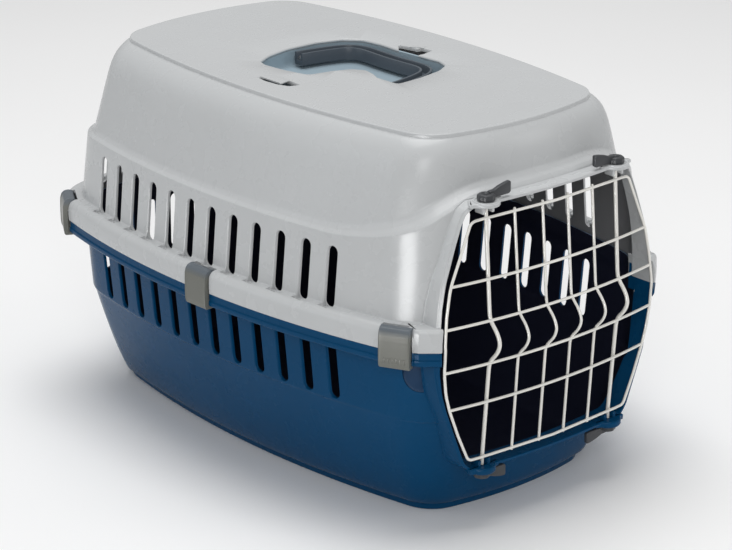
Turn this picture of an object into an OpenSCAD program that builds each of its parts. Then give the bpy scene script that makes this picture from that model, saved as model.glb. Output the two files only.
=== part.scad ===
// Pet transport carrier: lower tray, hood, wire door, thumb latches, rim clips and a folding handle.
// Millimetres, +Z up, door facing -Y, origin at the centre of the footprint on the floor.

/* [Shells] */
// Height of the line where tray and hood meet
part_z = 147; // [140:1:155]
// Height of the raised top panel
top_z = 292.8; // [285:0.1:300]
// Half width of the rim
rim_a = 160; // [155:1:165]
// Wall thickness of both shells
wall = 2.5; // [2:0.1:3.5]
// Shift of the whole carrier along its length, to centre it
shift_y = 9.3; // [0:0.1:20]

/* [Vent slots] */
// Slots in a row
slot_n = 12; // [8:1:12]
// Distance between slots
slot_pitch = 25; // [20:1:25]
// Width of a slot
slot_w = 9.3; // [4:0.1:10]
// Height of a slot
slot_h = 46; // [30:1:46]
// Lowest point of the hood's slots
slot_hood_z = 162; // [162:0.5:164]
// Lowest point of the tray's slots
slot_tray_z = 89.5; // [89:0.5:92]

/* [Door] */
// Radius of the door's wires
wire_r = 1.1; // [0.9:0.05:1.8]
// Radius of the two thick rods
rod_r = 1.55; // [1.2:0.05:2.4]
// Radius of a closed rod socket
socket_r = 1.62; // [1.3:0.01:2.6]
// Distance of the rods from the middle
rod_x = 65.5; // [60:0.5:70]
// Y of the rods' ends, the door's hinge line
rod_y = -224.6; // [-230:0.1:-223]
// Forward bow of the uprights at mid height
bow = 10; // [4:0.5:12]
// Y of the door's middle
door_y0 = -238; // [-240:0.5:-236]

/* [Latches] */
// Radius of a latch hub
hub_r = 7; // [6:0.1:8]
// Length of a latch wing from its hub's centre
wing_l = 23; // [18:0.5:26]

/* [Rim clips] */
// Width of a clip
clip_w = 23.5; // [20:0.5:30]
// Radius of a clip's pin
pin_r = 1.4; // [1.2:0.05:1.6]
// Radial clearance of the clips and the handle on their pins
run = 0.08; // [0.02:0.01:0.1]

/* [Handle] */
// Top of the folded handle
handle_z = 290; // [288:0.5:291]
// Depth of the handle's section
handle_h = 10; // [8:0.5:11]
// Width of the handle's section
handle_w = 10; // [9:0.5:12]
// Floor of the handle recess
recess_z = 277.5; // [275:0.5:279]
// X of the handle's pivot
hinge_x = -4; // [-6:0.5:0]
// Z of the handle's pivot
hinge_z = 284.6; // [283:0.1:286]
// Radius of the handle's pins
hpin_r = 2; // [1.5:0.1:2.5]

/* [Hidden] */
$fn = 48;
e = 0.01;
side_r = 802;
ns = 4;
nc = 4;
ne = 4;
m = ns + nc + ne;
N = 4 * m;
hy = -7;

// A plan outline is [half width, y of widest, side radius, front length, front radius, front corner, rear length, rear radius, rear corner].
function cc(A, B, Rs, Re, r) = let (dx = Rs - A, dy = B - Re, D = norm([dx, dy]), r1 = Rs - r, r2 = Re - r,
  a = (r1 * r1 - r2 * r2 + D * D) / (2 * D), h = sqrt(max(r1 * r1 - a * a, 0)))
  [-dx + a * dx / D - h * dy / D, a * dy / D + h * dx / D];
function qp(k, A, B, Rs, Re, r) = let (c = cc(A, B, Rs, Re, r), t1 = atan2(c[1], c[0] + Rs - A), t2 = atan2(c[1] + Re - B, c[0]))
  k <= ns ? [A - Rs + Rs * cos(t1 * k / ns), Rs * sin(t1 * k / ns)] :
  k <= ns + nc ? [c[0] + r * cos(t1 + (t2 - t1) * (k - ns) / nc), c[1] + r * sin(t1 + (t2 - t1) * (k - ns) / nc)] :
  [Re * cos(t2 + (90 - t2) * (k - ns - nc) / ne), B - Re + Re * sin(t2 + (90 - t2) * (k - ns - nc) / ne)];
function lp(j, L) = let (rear = j <= 2 * m, k = j <= m ? j : j <= 2 * m ? 2 * m - j : j <= 3 * m ? j - 2 * m : 4 * m - j,
  q = rear ? qp(k, L[0], L[6], L[2], L[7], L[8]) : qp(k, L[0], L[3], L[2], L[4], L[5]), sx = (j <= m || j > 3 * m) ? 1 : -1)
  [sx * q[0], L[1] + (rear ? 1 : -1) * q[1]];
function ins(L, d) = [L[0] - d, L[1], L[2] - d, L[3] - d, L[4] - d, L[5] - d, L[6] - d, L[7] - d, L[8] - d];
function ring(z, L) = [for (j = [0:N - 1]) let (p = lp(j, L)) [p[0], p[1], z]];
function clamp(t, a = 0, b = 1) = min(max(t, a), b);

// Plan outlines by height.
rim = [rim_a, 3, side_r, 241, 548, 50, 225, 500, 55];
function hoodwall(z) = let (q = max(z, 164) - 164) [147 - 0.092 * q, 3, side_r, 226.8 - 0.0008 * q * q, 548, 45, 211 - 0.1 * q, 480, 50];
function domeg(u) = 1 - 0.62 * u - 0.38 * pow(max(u, 0), 10);
function dome(z) = let (g = domeg((z - 219) / 71)) [104.6 + 33.4 * g, -5.6 + 8.6 * g, 848 - 44 * g, 193 + 25.6 * g, 260 + 100 * g, 32.5 + 12 * g, 193 + 8.4 * g, 260 + 100 * g, 32.5 + 12 * g];
panel = dome(290);
function traywall(z) = [141.2 + 0.1 * (z - 89.7), 3, side_r, 231, 548, 45, 206.5, 480, 50];
function belly(z) = let (g = 0.934 * pow(max(z, 0) / 86, 0.75)) [101.4 + 40 * g, 1 + 2 * g, 850, 196.4 + 35 * g, 314 + 234 * g, 28 + 20 * g, 196.6 + 10 * g, 314 + 170 * g, 28 + 24 * g];

// The dome's foot rises toward the front and runs across above the door.
function foot_z(x, y) = 218.5 + 29 * pow(clamp((-y - 110) / 100), 2.3) + (y < -190 ? 9 * sin(90 * clamp((108 - abs(x)) / 43)) : 0);
function edge_z(x, y) = foot_z(x, y) - 1.6 - 3.6 * clamp((-y - 150) / 60);
function foot_ring(d) = [for (j = [0:N - 1]) let (p0 = lp(j, dome(225)), z = foot_z(p0[0], p0[1]), p = lp(j, ins(dome(z), d))) [p[0], p[1], z - 0.6 * d]];
function edge_ring(d) = [for (j = [0:N - 1]) let (p0 = lp(j, dome(225)), z = edge_z(p0[0], p0[1]), p = lp(j, ins(hoodwall(z), d))) [p[0], p[1], z - 0.6 * d]];
function dome_ring(t, d, top) = [for (j = [0:N - 1]) let (p0 = lp(j, dome(225)), z0 = foot_z(p0[0], p0[1]), z = z0 + (top - z0) * t, p = lp(j, ins(dome(z), d))) [p[0], p[1], z - d * (t > 0.8 ? (t - 0.8) * 5 : 0)]];
function wall_ring(t, z0, d) = [for (j = [0:N - 1]) let (p0 = lp(j, dome(225)), z = z0 + (edge_z(p0[0], p0[1]) - 1.5 - z0) * t, p = lp(j, ins(hoodwall(z), d))) [p[0], p[1], z]];

module loft(r) {
  M = len(r);
  polyhedron(points = [for (a = r, p = a) p],
    faces = concat([[for (j = [0:N - 1]) j]],
      [for (k = [0:M - 2], j = [0:N - 1]) [k * N + j, (k + 1) * N + j, (k + 1) * N + (j + 1) % N]],
      [for (k = [0:M - 2], j = [0:N - 1]) [k * N + j, (k + 1) * N + (j + 1) % N, k * N + (j + 1) % N]],
      [[for (j = [0:N - 1]) M * N - 1 - j]]), convexity = 6);
}
module place() { translate([0, shift_y, 0]) children(); }

// The door opening and its collar, as a half outline in X and Z, mirrored.
oh = [[74, 247.5], [81.5, 243.5], [86, 235.5], [92.2, 220], [101.2, 195], [104.9, 178], [106.9, 163], [107.8, 147],
  [107.6, 130], [105.4, 113.5], [101.2, 98.5], [94.6, 81.5], [87.6, 64], [83.6, 54], [77, 48]];
function both(h) = concat(h, [for (i = [len(h) - 1:-1:0]) [-h[i][0], h[i][1]]]);
function grow(h, d) = let (n = len(h)) [for (i = [0:n - 1]) let (a = i == 0 ? [h[0][0] - 10, h[0][1]] : h[i - 1], b = i == n - 1 ? [h[i][0] - 10, h[i][1]] : h[i + 1],
  u = (h[i] - a) / norm(h[i] - a), v = (b - h[i]) / norm(b - h[i]), w = [-(u[1] + v[1]), u[0] + v[0]] / norm(u + v), c = u * v) h[i] + d / sqrt((1 + c) / 2) * w];
module tunnel(d, y0, y1) { translate([0, y1, 0]) rotate([90, 0, 0]) linear_extrude(y1 - y0) polygon(both(grow(oh, d))); }
module door_face(up, d) {
  translate([0, door_y0 + 548 + d, part_z]) rotate([up ? -4.86 : 3.78, 0, 0]) cylinder(r = 548, h = 420, center = true, $fn = 96);
}
module upper_half(z) { translate([-200, -260, z]) cube([400, 520, 200]); }
module lower_half(z) { translate([-200, -260, z - 200]) cube([400, 520, 200]); }

module slot_shape() {
  translate([-slot_w / 2, slot_w / 2]) square([slot_w, slot_h - slot_w]);
  translate([0, slot_w / 2]) circle(d = slot_w, $fn = 16);
  translate([0, slot_h - slot_w / 2]) circle(d = slot_w, $fn = 16);
}
module slots(z0, a) {
  for (i = [0:slot_n - 1]) {
    dy = (i - (slot_n - 1) / 2) * slot_pitch;
    x = a - side_r + sqrt(side_r * side_r - dy * dy);
    translate([-x, 3 + dy, z0]) rotate([90, 0, 90]) linear_extrude(2 * x) slot_shape();
  }
}
module rear_slots(z0, b) {
  for (i = [0:7]) {
    dx = (i - 3.5) * slot_pitch;
    translate([dx, 3 + b - 480 + sqrt(480 * 480 - dx * dx), z0]) rotate([90, 0, 0]) linear_extrude(30) slot_shape();
  }
}

// Where a clip sits on the rim: front corner, side, rear corner.
function clip_at(i, right) = i == 1 || (i == 0 && right) ? let (c = [rim_a - side_r, 3], t = i == 1 ? -1.1 : -12.2) [c[0] + side_r * cos(t), c[1] + side_r * sin(t), t] :
  i == 0 ? let (c = cc(rim[0], rim[3], rim[2], rim[4], rim[5]), t = 27) [c[0] + rim[5] * cos(t), 3 - c[1] - rim[5] * sin(t), -t] :
  let (c = cc(rim[0], rim[6], rim[2], rim[7], rim[8]), t = 30) [c[0] + rim[8] * cos(t), 3 + c[1] + rim[8] * sin(t), t];
module on_rim(i, right) {
  q = clip_at(i, right);
  if (right) translate([q[0], q[1], 0]) rotate([0, 0, q[2]]) children();
  else mirror([1, 0, 0]) translate([q[0], q[1], 0]) rotate([0, 0, q[2]]) children();
}
module at_clips() { for (i = [0:2]) { on_rim(i, true) children(); on_rim(i, false) children(); } }
clip_ax = [-4.6, 160.8];
module notch() {
  translate([-9.4, -clip_w / 2 - 0.6, part_z - 1]) cube([14, clip_w + 1.2, 25]);
}
module pin_hole(r) { translate([clip_ax[0], 0, clip_ax[1]]) rotate([90, 0, 0]) cylinder(r = r, h = clip_w + 6.4, center = true); }

module rim_channel(z0, z1, L0, L1) {
  difference() {
    loft([ring(z0, L0), ring(z1, L0)]);
    loft([ring(z0 - 1, L1), ring(z1 + 1, L1)]);
    at_clips() translate([-20, -clip_w / 2 - 5, z0 - 2]) cube([26, clip_w + 10, z1 - z0 + 4]);
  }
}

// Recess of the handle, as seen from above.
well = [[-54, 33], [-51, 43], [-36, 51.5], [-12, 57.6], [16, 57], [38, 50], [49, 38], [51.5, 20], [50.5, 0], [52, -22], [53.5, -46], [49, -58], [34, -66], [10, -70.5], [-12, -71.6],
  [-12.6, -50], [-8.5, -41], [-5.5, -29], [-12, -19], [-28, -12.5], [-47, -9], [-52, 12]];
module tub(d) {
  function wn(i) = let (n = len(well), a = well[(i + n - 1) % n], b = well[(i + 1) % n], p = well[i], u = (p - a) / norm(p - a), v = (b - p) / norm(b - p), w = [-(u[1] + v[1]), u[0] + v[0]] / norm(u + v), c = u * v) p + d / sqrt((1 + c) / 2) * w;
  polygon([for (i = [0:len(well) - 1]) wn(i)]);
}

module rim_end(z0, h) {
  for (s = [-1, 1]) translate([0, 0, z0]) linear_extrude(h) polygon([[s * 108.5, -229.2], [s * 122.7, -217], [s * 123, -210], [s * 118, -205], [s * 108.5, -212]]);
}
// shallow round hollow under each end of the rim
module end_hollow() {
  for (s = [-1, 1]) intersection() {
    translate([s * 109, -207, 128.5]) rotate([90, 0, s * 46]) translate([0, 0, 1.2]) cylinder(r = 15, h = 14, $fn = 32);
    translate([-200, -260, 60]) cube([400, 100, 75]);
  }
}
module hood_cavity() {
  loft(concat([ring(part_z - 1, ins(hoodwall(164), wall)), ring(164.6, ins(hoodwall(164), wall))],
    [for (t = [0.15, 0.45, 0.75, 1]) wall_ring(t, 164.6, wall)], [edge_ring(wall), foot_ring(wall)],
    [for (t = [0.2, 0.4, 0.58, 0.72, 0.82, 0.9]) dome_ring(t, wall, 290)], [ring(288.2, ins(panel, 4)), ring(290.2, ins(panel, 6))]));
}
module tray_cavity() {
  loft(concat([ring(8.6, ins(belly(10), 8)), ring(10, ins(belly(10), 4))],
    [for (z = [14, 22, 35, 50, 66, 85]) ring(z, ins(belly(z), wall))],
    [ring(88.6, ins(traywall(88), wall)), ring(140, ins(traywall(140), wall)), ring(146, ins(hoodwall(164), wall + 2.5)), ring(158, ins(hoodwall(164), wall + 2.5))]));
}
module hood() color([0.72, 0.73, 0.75]) place() {
  hood_shell();
  // flaps over the strap guides
  for (s = [-1, 1]) translate([s * 65 - 4, hy - 9, 291.4]) cube([8, 18, 2.5]);
}
module hood_shell() difference() {
  union() {
    difference() {
      loft(concat([ring(part_z, ins(rim, 0.3)), ring(part_z + 1, rim), ring(158.5, ins(rim, 0.2)), ring(161.8, ins(rim, 1.2)), ring(163.8, ins(rim, 3.2)), ring(164.4, ins(rim, 6)), ring(164.6, hoodwall(164))],
        [for (t = [0.15, 0.45, 0.75, 1]) wall_ring(t, 164.6, 0)], [edge_ring(0), foot_ring(0)],
        [for (t = [0.2, 0.4, 0.58, 0.72, 0.82, 0.9, 0.96]) dome_ring(t, 0, 290)],
        [ring(289.6, panel), ring(top_z - 0.9, panel), ring(top_z, ins(panel, 1))]));
      difference() {
        hood_cavity();
        translate([0, 0, recess_z - wall]) linear_extrude(20) tub(wall);
      }
      rim_channel(part_z - 1, 161.4, ins(rim, 3), ins(hoodwall(164), -0.3));
      translate([0, 0, recess_z]) linear_extrude(20) tub(0);
      tunnel(0, -260, -150);
    }
    // collar round the door opening
    difference() {
      intersection() {
        tunnel(2.4, -250, -180);
        door_face(true, 2.5);
        upper_half(part_z);
      }
      tunnel(0, -260, -150);
      hood_cavity();
    }
    rim_end(part_z, 17.6);
    for (s = [-1, 1]) {
      translate([s * rod_x, rod_y, 248.1]) cylinder(r = 10.4, h = 3);
      translate([s * rod_x, rod_y, 251]) cylinder(r = 5, h = 3.4);
      translate([s * (rod_x - 6.5) - 1.2, rod_y - 3, 242.2]) cube([2.4, 7, 6.5]);
    }
  }
  // sockets: closed on the hinge side, open to the front on the other
  translate([-rod_x, rod_y, 245]) cylinder(r = socket_r, h = 6.6);
  translate([rod_x, rod_y, 240]) cylinder(r = 2.5, h = 11.6);
  translate([rod_x - 2.5, rod_y - 15, 240]) cube([5, 15, 11.6]);
  for (s = [-1, 1]) {
    translate([s * 70.5 - 3.5, hy - 17, 284]) cube([7, 34, 12]);
  }
  slots(slot_hood_z, 152.5);
  rear_slots(slot_hood_z, 216.5);
  at_clips() { notch(); pin_hole(pin_r); }
  // handle pins
  translate([hinge_x, hy, hinge_z]) rotate([90, 0, 0]) cylinder(r = hpin_r, h = 140, center = true);
  // feet for stacking are absent: the underside of the rim stays open
}

module base_tray() color([0.11, 0.29, 0.43]) place() difference() {
  union() {
    difference() {
      loft(concat([ring(0, ins(belly(0), 0.4)), ring(0.8, belly(0)), ring(5.6, ins(belly(0), -0.8))],
        [for (z = [6, 12, 22, 35, 50, 66, 85.8]) ring(z, belly(z))],
        [ring(88, traywall(88)), ring(136, traywall(136)), ring(136.1, ins(rim, 2.4)), ring(138, ins(rim, 1.1)), ring(part_z - 0.2, ins(rim, 1)),
        ring(part_z - 0.15, ins(hoodwall(164), wall + 0.35)), ring(156.4, ins(hoodwall(164), wall + 0.35)), ring(157, ins(hoodwall(164), wall + 0.9))]));
      tray_cavity();
      difference() {
        loft([ring(135, ins(rim, 4)), ring(144.3, ins(rim, 4))]);
        loft([ring(134, ins(traywall(140), -0.25)), ring(145, ins(traywall(140), -0.25))]);
      }
      loft([ring(-1, ins(belly(0), 4)), ring(4.6, ins(belly(0), 4))]);
      end_hollow();
      tunnel(0, -260, -150);
    }
    difference() {
      intersection() {
        tunnel(2.4, -250, -180);
        door_face(false, 0);
        translate([0, door_y0 + 548 + 5.5, part_z]) rotate([-2.9, 0, 0]) cylinder(r = 548, h = 420, center = true, $fn = 96);
        lower_half(part_z - 0.2);
      }
      tunnel(0, -260, -150);
      tray_cavity();
    }
    rim_end(136.1, part_z - 136.3);
    for (s = [-1, 1]) {
      translate([s * rod_x, rod_y, 43.6]) cylinder(r = 10.4, h = 4.6);
      translate([s * rod_x, rod_y, 40.4]) cylinder(r = 5, h = 3.4);
    }
  }
  translate([-rod_x, rod_y, 43.9]) cylinder(r = socket_r, h = 8);
  translate([rod_x, rod_y, 43.9]) cylinder(r = 2.5, h = 8);
  translate([rod_x - 2.5, rod_y - 15, 43.9]) cube([5, 15, 8]);
  slots(slot_tray_z, 149.5);
  rear_slots(slot_tray_z, 210.5);
}

// Door: a point of its middle surface.
function dy(x, z) = door_y0 + 9.13 * pow(x / 100, 2) + (z > part_z ? 0.085 : -0.066) * (z - part_z);
function vn(v) = v / norm(v);
// A wire: rings of n points along a path that stays close to the door's plane.
function wire_ring(p, a, b, r, n) = let (t = vn(b - a), u = vn(cross(t, [0, 1, 0])), v = cross(u, t)) [for (i = [0:n - 1]) p + r * (cos(360 * i / n) * u + sin(360 * i / n) * v)];
module wire(p, r, n = 12) {
  M = len(p);
  polyhedron(points = [for (k = [0:M - 1]) for (q = wire_ring(p[k], p[max(k - 1, 0)], p[min(k + 1, M - 1)], r, n)) q],
    faces = concat([[for (j = [0:n - 1]) n - 1 - j]],
      [for (k = [0:M - 2], j = [0:n - 1]) [k * n + j, (k + 1) * n + (j + 1) % n, (k + 1) * n + j]],
      [for (k = [0:M - 2], j = [0:n - 1]) [k * n + j, k * n + (j + 1) % n, (k + 1) * n + (j + 1) % n]],
      [[for (j = [0:n - 1]) (M - 1) * n + j]]));
}
module wire_loop(p, r, n = 12) {
  M = len(p);
  polyhedron(points = [for (k = [0:M - 1]) for (q = wire_ring(p[k], p[(k + M - 1) % M], p[(k + 1) % M], r, n)) q],
    faces = concat([for (k = [0:M - 1], j = [0:n - 1]) [k * n + j, ((k + 1) % M) * n + (j + 1) % n, ((k + 1) % M) * n + j]],
      [for (k = [0:M - 1], j = [0:n - 1]) [k * n + j, k * n + (j + 1) % n, ((k + 1) % M) * n + (j + 1) % n]]));
}
fh = [[0, 238.6], [24, 238.6], [48, 238.6], [71, 238.6], [76, 238.2], [79.6, 236.2], [82, 232], [90, 214], [99.4, 193], [103.6, 172], [105.8, 152], [105.7, 130], [103.4, 113], [99.6, 99.9], [91, 78], [84, 61.5], [82, 57.6], [78.6, 55.9], [74, 55.5], [50, 55.5], [25, 55.5], [0, 55.5]];
module arc_bar(z, half, r) {
  y = dy(0, z);
  t = asin(half / 548);
  translate([0, y + 548, z]) rotate([0, 0, -90 - t]) rotate_extrude(angle = 2 * t, $fn = 96) translate([548, 0]) circle(r = r);
}
function wp(x, z) = [x, dy(x, z), z];
module door_frame() color([0.91, 0.9, 0.86]) place()
  wire_loop(concat([for (p = fh) wp(p[0], p[1])], [for (i = [len(fh) - 2:-1:1]) wp(-fh[i][0], fh[i][1])]), wire_r);
bar_z = [193.8, 162.9, 130.3, 99.9];
bar_h = [98.4, 104, 105, 98.8];
module bar(i) color([0.91, 0.9, 0.86]) place() arc_bar(bar_z[i], bar_h[i], wire_r);
module door_bar_1() bar(0);
module door_bar_2() bar(1);
module door_bar_3() bar(2);
module door_bar_4() bar(3);
// Uprights run behind the bars and bow forward between the middle two.
function up_pts(x, b, r) = let (o = wire_r + r - 0.1, z2 = bar_z[1] - 1, z3 = bar_z[2] + 1, n = 6)
  concat([[x, dy(x, 238.6) + o, 240.5], [x, dy(x, z2) + o, z2 + 2]],
    [for (i = [1:n - 1]) let (t = i / n, z = z2 + (z3 - z2) * t) [x, dy(x, z) + o - (b - 0.2) * pow(sin(180 * t), 0.8), z]],
    [[x, dy(x, z3) + o, z3 - 2], [x, dy(x, 55.5) + o, 53.6]]);
module upright(x) color([0.91, 0.9, 0.86]) place() wire(up_pts(x, bow, wire_r), wire_r);
module door_upright_1() upright(-39.3);
module door_upright_2() upright(-12.7);
module door_upright_3() upright(12.7);
module door_upright_4() upright(39.3);
module rod(x) color([0.91, 0.9, 0.86]) place() {
  p = up_pts(x, bow, rod_r);
  wire(concat([[x, rod_y, 247], [x, rod_y, 243], [x, p[0][1], 239.2]], [for (i = [1:len(p) - 2]) p[i]], [[x, p[len(p) - 1][1], 55.2], [x, rod_y, 51.5], [x, rod_y, 48]]), rod_r - 0.05, 16);
  translate([x, rod_y, 243.4]) cylinder(r = rod_r, h = 7.8);
  translate([x, rod_y, 44.3]) cylinder(r = rod_r, h = 7.2);
}
module door_rod_left() rod(-rod_x);
module door_rod_right() rod(rod_x);

// Latch: a cap on the socket's neck with a wing that points to the door's middle.
module latch() color([0.36, 0.36, 0.37]) {
  difference() {
    union() {
      translate([0, 0, 0.4]) cylinder(r = hub_r, h = 5.2);
      translate([0, 0, 5.6]) cylinder(r1 = hub_r, r2 = hub_r - 1.4, h = 1.2);
      translate([0, 1.7, 0]) rotate([90, 0, 0]) linear_extrude(3.4) polygon([[2, 1], [wing_l, 1], [wing_l, 10.6], [wing_l - 5, 10.2], [hub_r - 1, 6.4], [2, 6.4]]);
    }
    translate([0, 0, -1]) cylinder(r = 5 + run, h = 4.8);
  }
}
module latch_top_left() place() translate([-rod_x, rod_y, 251.1]) latch();
module latch_top_right() place() mirror([1, 0, 0]) translate([-rod_x, rod_y, 251.1]) latch();
module latch_bottom_left() place() translate([-rod_x, rod_y, 43.6]) mirror([0, 0, 1]) latch();
module latch_bottom_right() place() mirror([1, 0, 0]) translate([-rod_x, rod_y, 43.6]) mirror([0, 0, 1]) latch();

// Clip: a plate over the joint that turns on a pin in the hood's rim and hooks under the tray's rim.
module clip() color([0.47, 0.47, 0.48]) difference() {
  union() {
    translate([0, clip_w / 2, 0]) rotate([90, 0, 0]) linear_extrude(clip_w)
      polygon([[-0.5, 134.4], [-5.2, 134.4], [-5.2, 135.4], [-0.5, 135.7], [-0.5, 155.4], [-4.6, 157.4], [-4.6, 164.2], [-1.2, 163.7], [1.3, 161.6], [2.3, 158], [2.3, 139], [1.7, 135.4], [1, 134.4]]);
    translate([clip_ax[0], 0, clip_ax[1]]) rotate([90, 0, 0]) cylinder(r = 3.4, h = clip_w, center = true);
  }
  translate([clip_ax[0], 0, clip_ax[1]]) rotate([90, 0, 0]) cylinder(r = pin_r + run, h = clip_w + 2, center = true);
}
module clip_front_left() place() on_rim(0, false) clip();
module clip_mid_left() place() on_rim(1, false) clip();
module clip_rear_left() place() on_rim(2, false) clip();
module clip_front_right() place() on_rim(0, true) clip();
module clip_mid_right() place() on_rim(1, true) clip();
module clip_rear_right() place() on_rim(2, true) clip();
module clip_pin() color([0.6, 0.6, 0.62]) pin_hole(pin_r);
module clip_pin_front_left() place() on_rim(0, false) clip_pin();
module clip_pin_mid_left() place() on_rim(1, false) clip_pin();
module clip_pin_rear_left() place() on_rim(2, false) clip_pin();
module clip_pin_front_right() place() on_rim(0, true) clip_pin();
module clip_pin_mid_right() place() on_rim(1, true) clip_pin();
module clip_pin_rear_right() place() on_rim(2, true) clip_pin();

// Handle: a channel along a U, lying in its recess.
hp = [[-7.6, 56.4], [0, 55.8], [18, 52], [31, 48], [38.5, 41.5], [41, 31], [40, 16], [39.4, 0]];
function half_path() = concat(hp, [for (i = [len(hp) - 2:-1:0]) [hp[i][0], -hp[i][1]]]);
function side(p, d) = let (n = len(p)) [for (i = [0:n - 1]) let (a = p[max(i - 1, 0)], b = p[min(i + 1, n - 1)], t = (b - a) / norm(b - a)) p[i] + d * [-t[1], t[0]]];
module band2(w) { p = half_path(); l = side(p, w / 2); r = side(p, -w / 2); polygon(concat(l, [for (i = [len(r) - 1:-1:0]) r[i]])); }
module handle() color([0.29, 0.31, 0.35]) place() translate([0, hy, 0]) difference() {
  translate([0, 0, handle_z - handle_h]) linear_extrude(handle_h) band2(handle_w);
  translate([0, 0, handle_z - handle_h + 3.4]) intersection() {
    linear_extrude(handle_h) band2(handle_w - 4.4);
    translate([4, -80, 0]) cube([80, 160, 20]);
  }
  translate([hinge_x, 0, hinge_z]) rotate([90, 0, 0]) cylinder(r = hpin_r + run, h = 140, center = true);
}
module handle_pin(s) color([0.6, 0.6, 0.62]) place() translate([hinge_x, hy + s * 51.5, hinge_z]) rotate([s > 0 ? -90 : 90, 0, 0]) cylinder(r = hpin_r, h = 15.4);
module handle_pin_front() handle_pin(-1);
module handle_pin_rear() handle_pin(1);

base_tray();
hood();
door_frame();
door_bar_1();
door_bar_2();
door_bar_3();
door_bar_4();
door_upright_1();
door_upright_2();
door_upright_3();
door_upright_4();
door_rod_left();
door_rod_right();
latch_top_left();
latch_top_right();
latch_bottom_left();
latch_bottom_right();
clip_front_left();
clip_mid_left();
clip_rear_left();
clip_front_right();
clip_mid_right();
clip_rear_right();
clip_pin_front_left();
clip_pin_mid_left();
clip_pin_rear_left();
clip_pin_front_right();
clip_pin_mid_right();
clip_pin_rear_right();
handle();
handle_pin_front();
handle_pin_rear();
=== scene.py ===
import math
import random

import bmesh
import bpy
import numpy as np
from mathutils import Matrix, Vector


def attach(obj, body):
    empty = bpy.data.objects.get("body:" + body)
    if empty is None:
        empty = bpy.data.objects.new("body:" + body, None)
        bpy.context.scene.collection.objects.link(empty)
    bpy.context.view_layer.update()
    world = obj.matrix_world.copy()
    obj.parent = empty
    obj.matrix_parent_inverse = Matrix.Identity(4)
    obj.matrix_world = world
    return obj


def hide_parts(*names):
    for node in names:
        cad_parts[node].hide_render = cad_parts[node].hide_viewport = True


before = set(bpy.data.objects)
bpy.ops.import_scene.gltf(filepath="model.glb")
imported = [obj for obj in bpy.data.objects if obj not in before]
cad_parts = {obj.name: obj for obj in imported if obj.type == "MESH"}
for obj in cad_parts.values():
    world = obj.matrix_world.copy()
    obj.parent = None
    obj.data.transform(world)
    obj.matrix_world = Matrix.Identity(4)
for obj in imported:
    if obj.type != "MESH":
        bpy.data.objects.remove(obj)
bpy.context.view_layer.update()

random.seed(7)
scene = bpy.context.scene
SY = 9.3          # the part's own shift along Y, mm
MM = 0.001
PART_Z, TOP_Z, WALL = 147.0, 292.8, 2.5
NS, NC, NE = 22, 16, 14
M = NS + NC + NE
N = 4 * M


# ------------------------------------------------------------------ outlines
def cc(A, B, Rs, Re, r):
    dx, dy = Rs - A, B - Re
    D = math.hypot(dx, dy)
    r1, r2 = Rs - r, Re - r
    a = (r1 * r1 - r2 * r2 + D * D) / (2 * D)
    h = math.sqrt(max(r1 * r1 - a * a, 0))
    return (-dx + a * dx / D - h * dy / D, a * dy / D + h * dx / D)


def qp(k, A, B, Rs, Re, r):
    c = cc(A, B, Rs, Re, r)
    t1 = math.atan2(c[1], c[0] + Rs - A)
    t2 = math.atan2(c[1] + Re - B, c[0])
    if k <= NS:
        t = t1 * k / NS
        return A - Rs + Rs * math.cos(t), Rs * math.sin(t)
    if k <= NS + NC:
        t = t1 + (t2 - t1) * (k - NS) / NC
        return c[0] + r * math.cos(t), c[1] + r * math.sin(t)
    t = t2 + (math.pi / 2 - t2) * (k - NS - NC) / NE
    return Re * math.cos(t), B - Re + Re * math.sin(t)


def lp(j, L):
    rear = j <= 2 * M
    k = j if j <= M else 2 * M - j if j <= 2 * M else j - 2 * M if j <= 3 * M else 4 * M - j
    q = qp(k, L[0], L[6], L[2], L[7], L[8]) if rear else qp(k, L[0], L[3], L[2], L[4], L[5])
    sx = 1 if (j <= M or j > 3 * M) else -1
    return sx * q[0], L[1] + (1 if rear else -1) * q[1]


def ins(L, d):
    return [L[0] - d, L[1]] + [v - d for v in L[2:]]


def ring(z, L):
    return np.array([[*lp(j, L), z] for j in range(N)])


def front_y(L, x):
    """y of an outline's front at this x."""
    A, B, Rs, Re, r = L[0], L[3], L[2], L[4], L[5]
    c = cc(A, B, Rs, Re, r)
    x = abs(x)
    t2 = math.atan2(c[1] + Re - B, c[0])
    if x <= Re * math.cos(t2):
        return L[1] - (B - Re + math.sqrt(Re * Re - x * x))
    d = min(x - c[0], r)
    return L[1] - (c[1] + math.sqrt(max(r * r - d * d, 0)))


def side_x(L, dy):
    return L[0] - L[2] + math.sqrt(L[2] ** 2 - dy * dy)


def clamp(t, a=0.0, b=1.0):
    return min(max(t, a), b)


RIM = [160, 3, 802, 241, 548, 50, 225, 500, 55]


def hoodwall(z):
    q = max(z, 164) - 164
    return [147 - 0.092 * q, 3, 802, 226.8 - 0.0008 * q * q, 548, 45, 211 - 0.1 * q, 480, 50]


def dome(z):
    u = (z - 219) / 71
    g = 1 - 0.62 * u - 0.38 * max(u, 0) ** 10
    return [104.6 + 33.4 * g, -5.6 + 8.6 * g, 848 - 44 * g, 193 + 25.6 * g, 260 + 100 * g, 32.5 + 12 * g,
            193 + 8.4 * g, 260 + 100 * g, 32.5 + 12 * g]


PANEL = dome(290)


def traywall(z):
    return [141.2 + 0.1 * (z - 89.7), 3, 802, 231, 548, 45, 206.5, 480, 50]


def belly(z):
    g = 0.934 * (max(z, 0) / 86) ** 0.75
    return [101.4 + 40 * g, 1 + 2 * g, 850, 196.4 + 35 * g, 314 + 234 * g, 28 + 20 * g, 196.6 + 10 * g, 314 + 170 * g, 28 + 24 * g]


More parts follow.
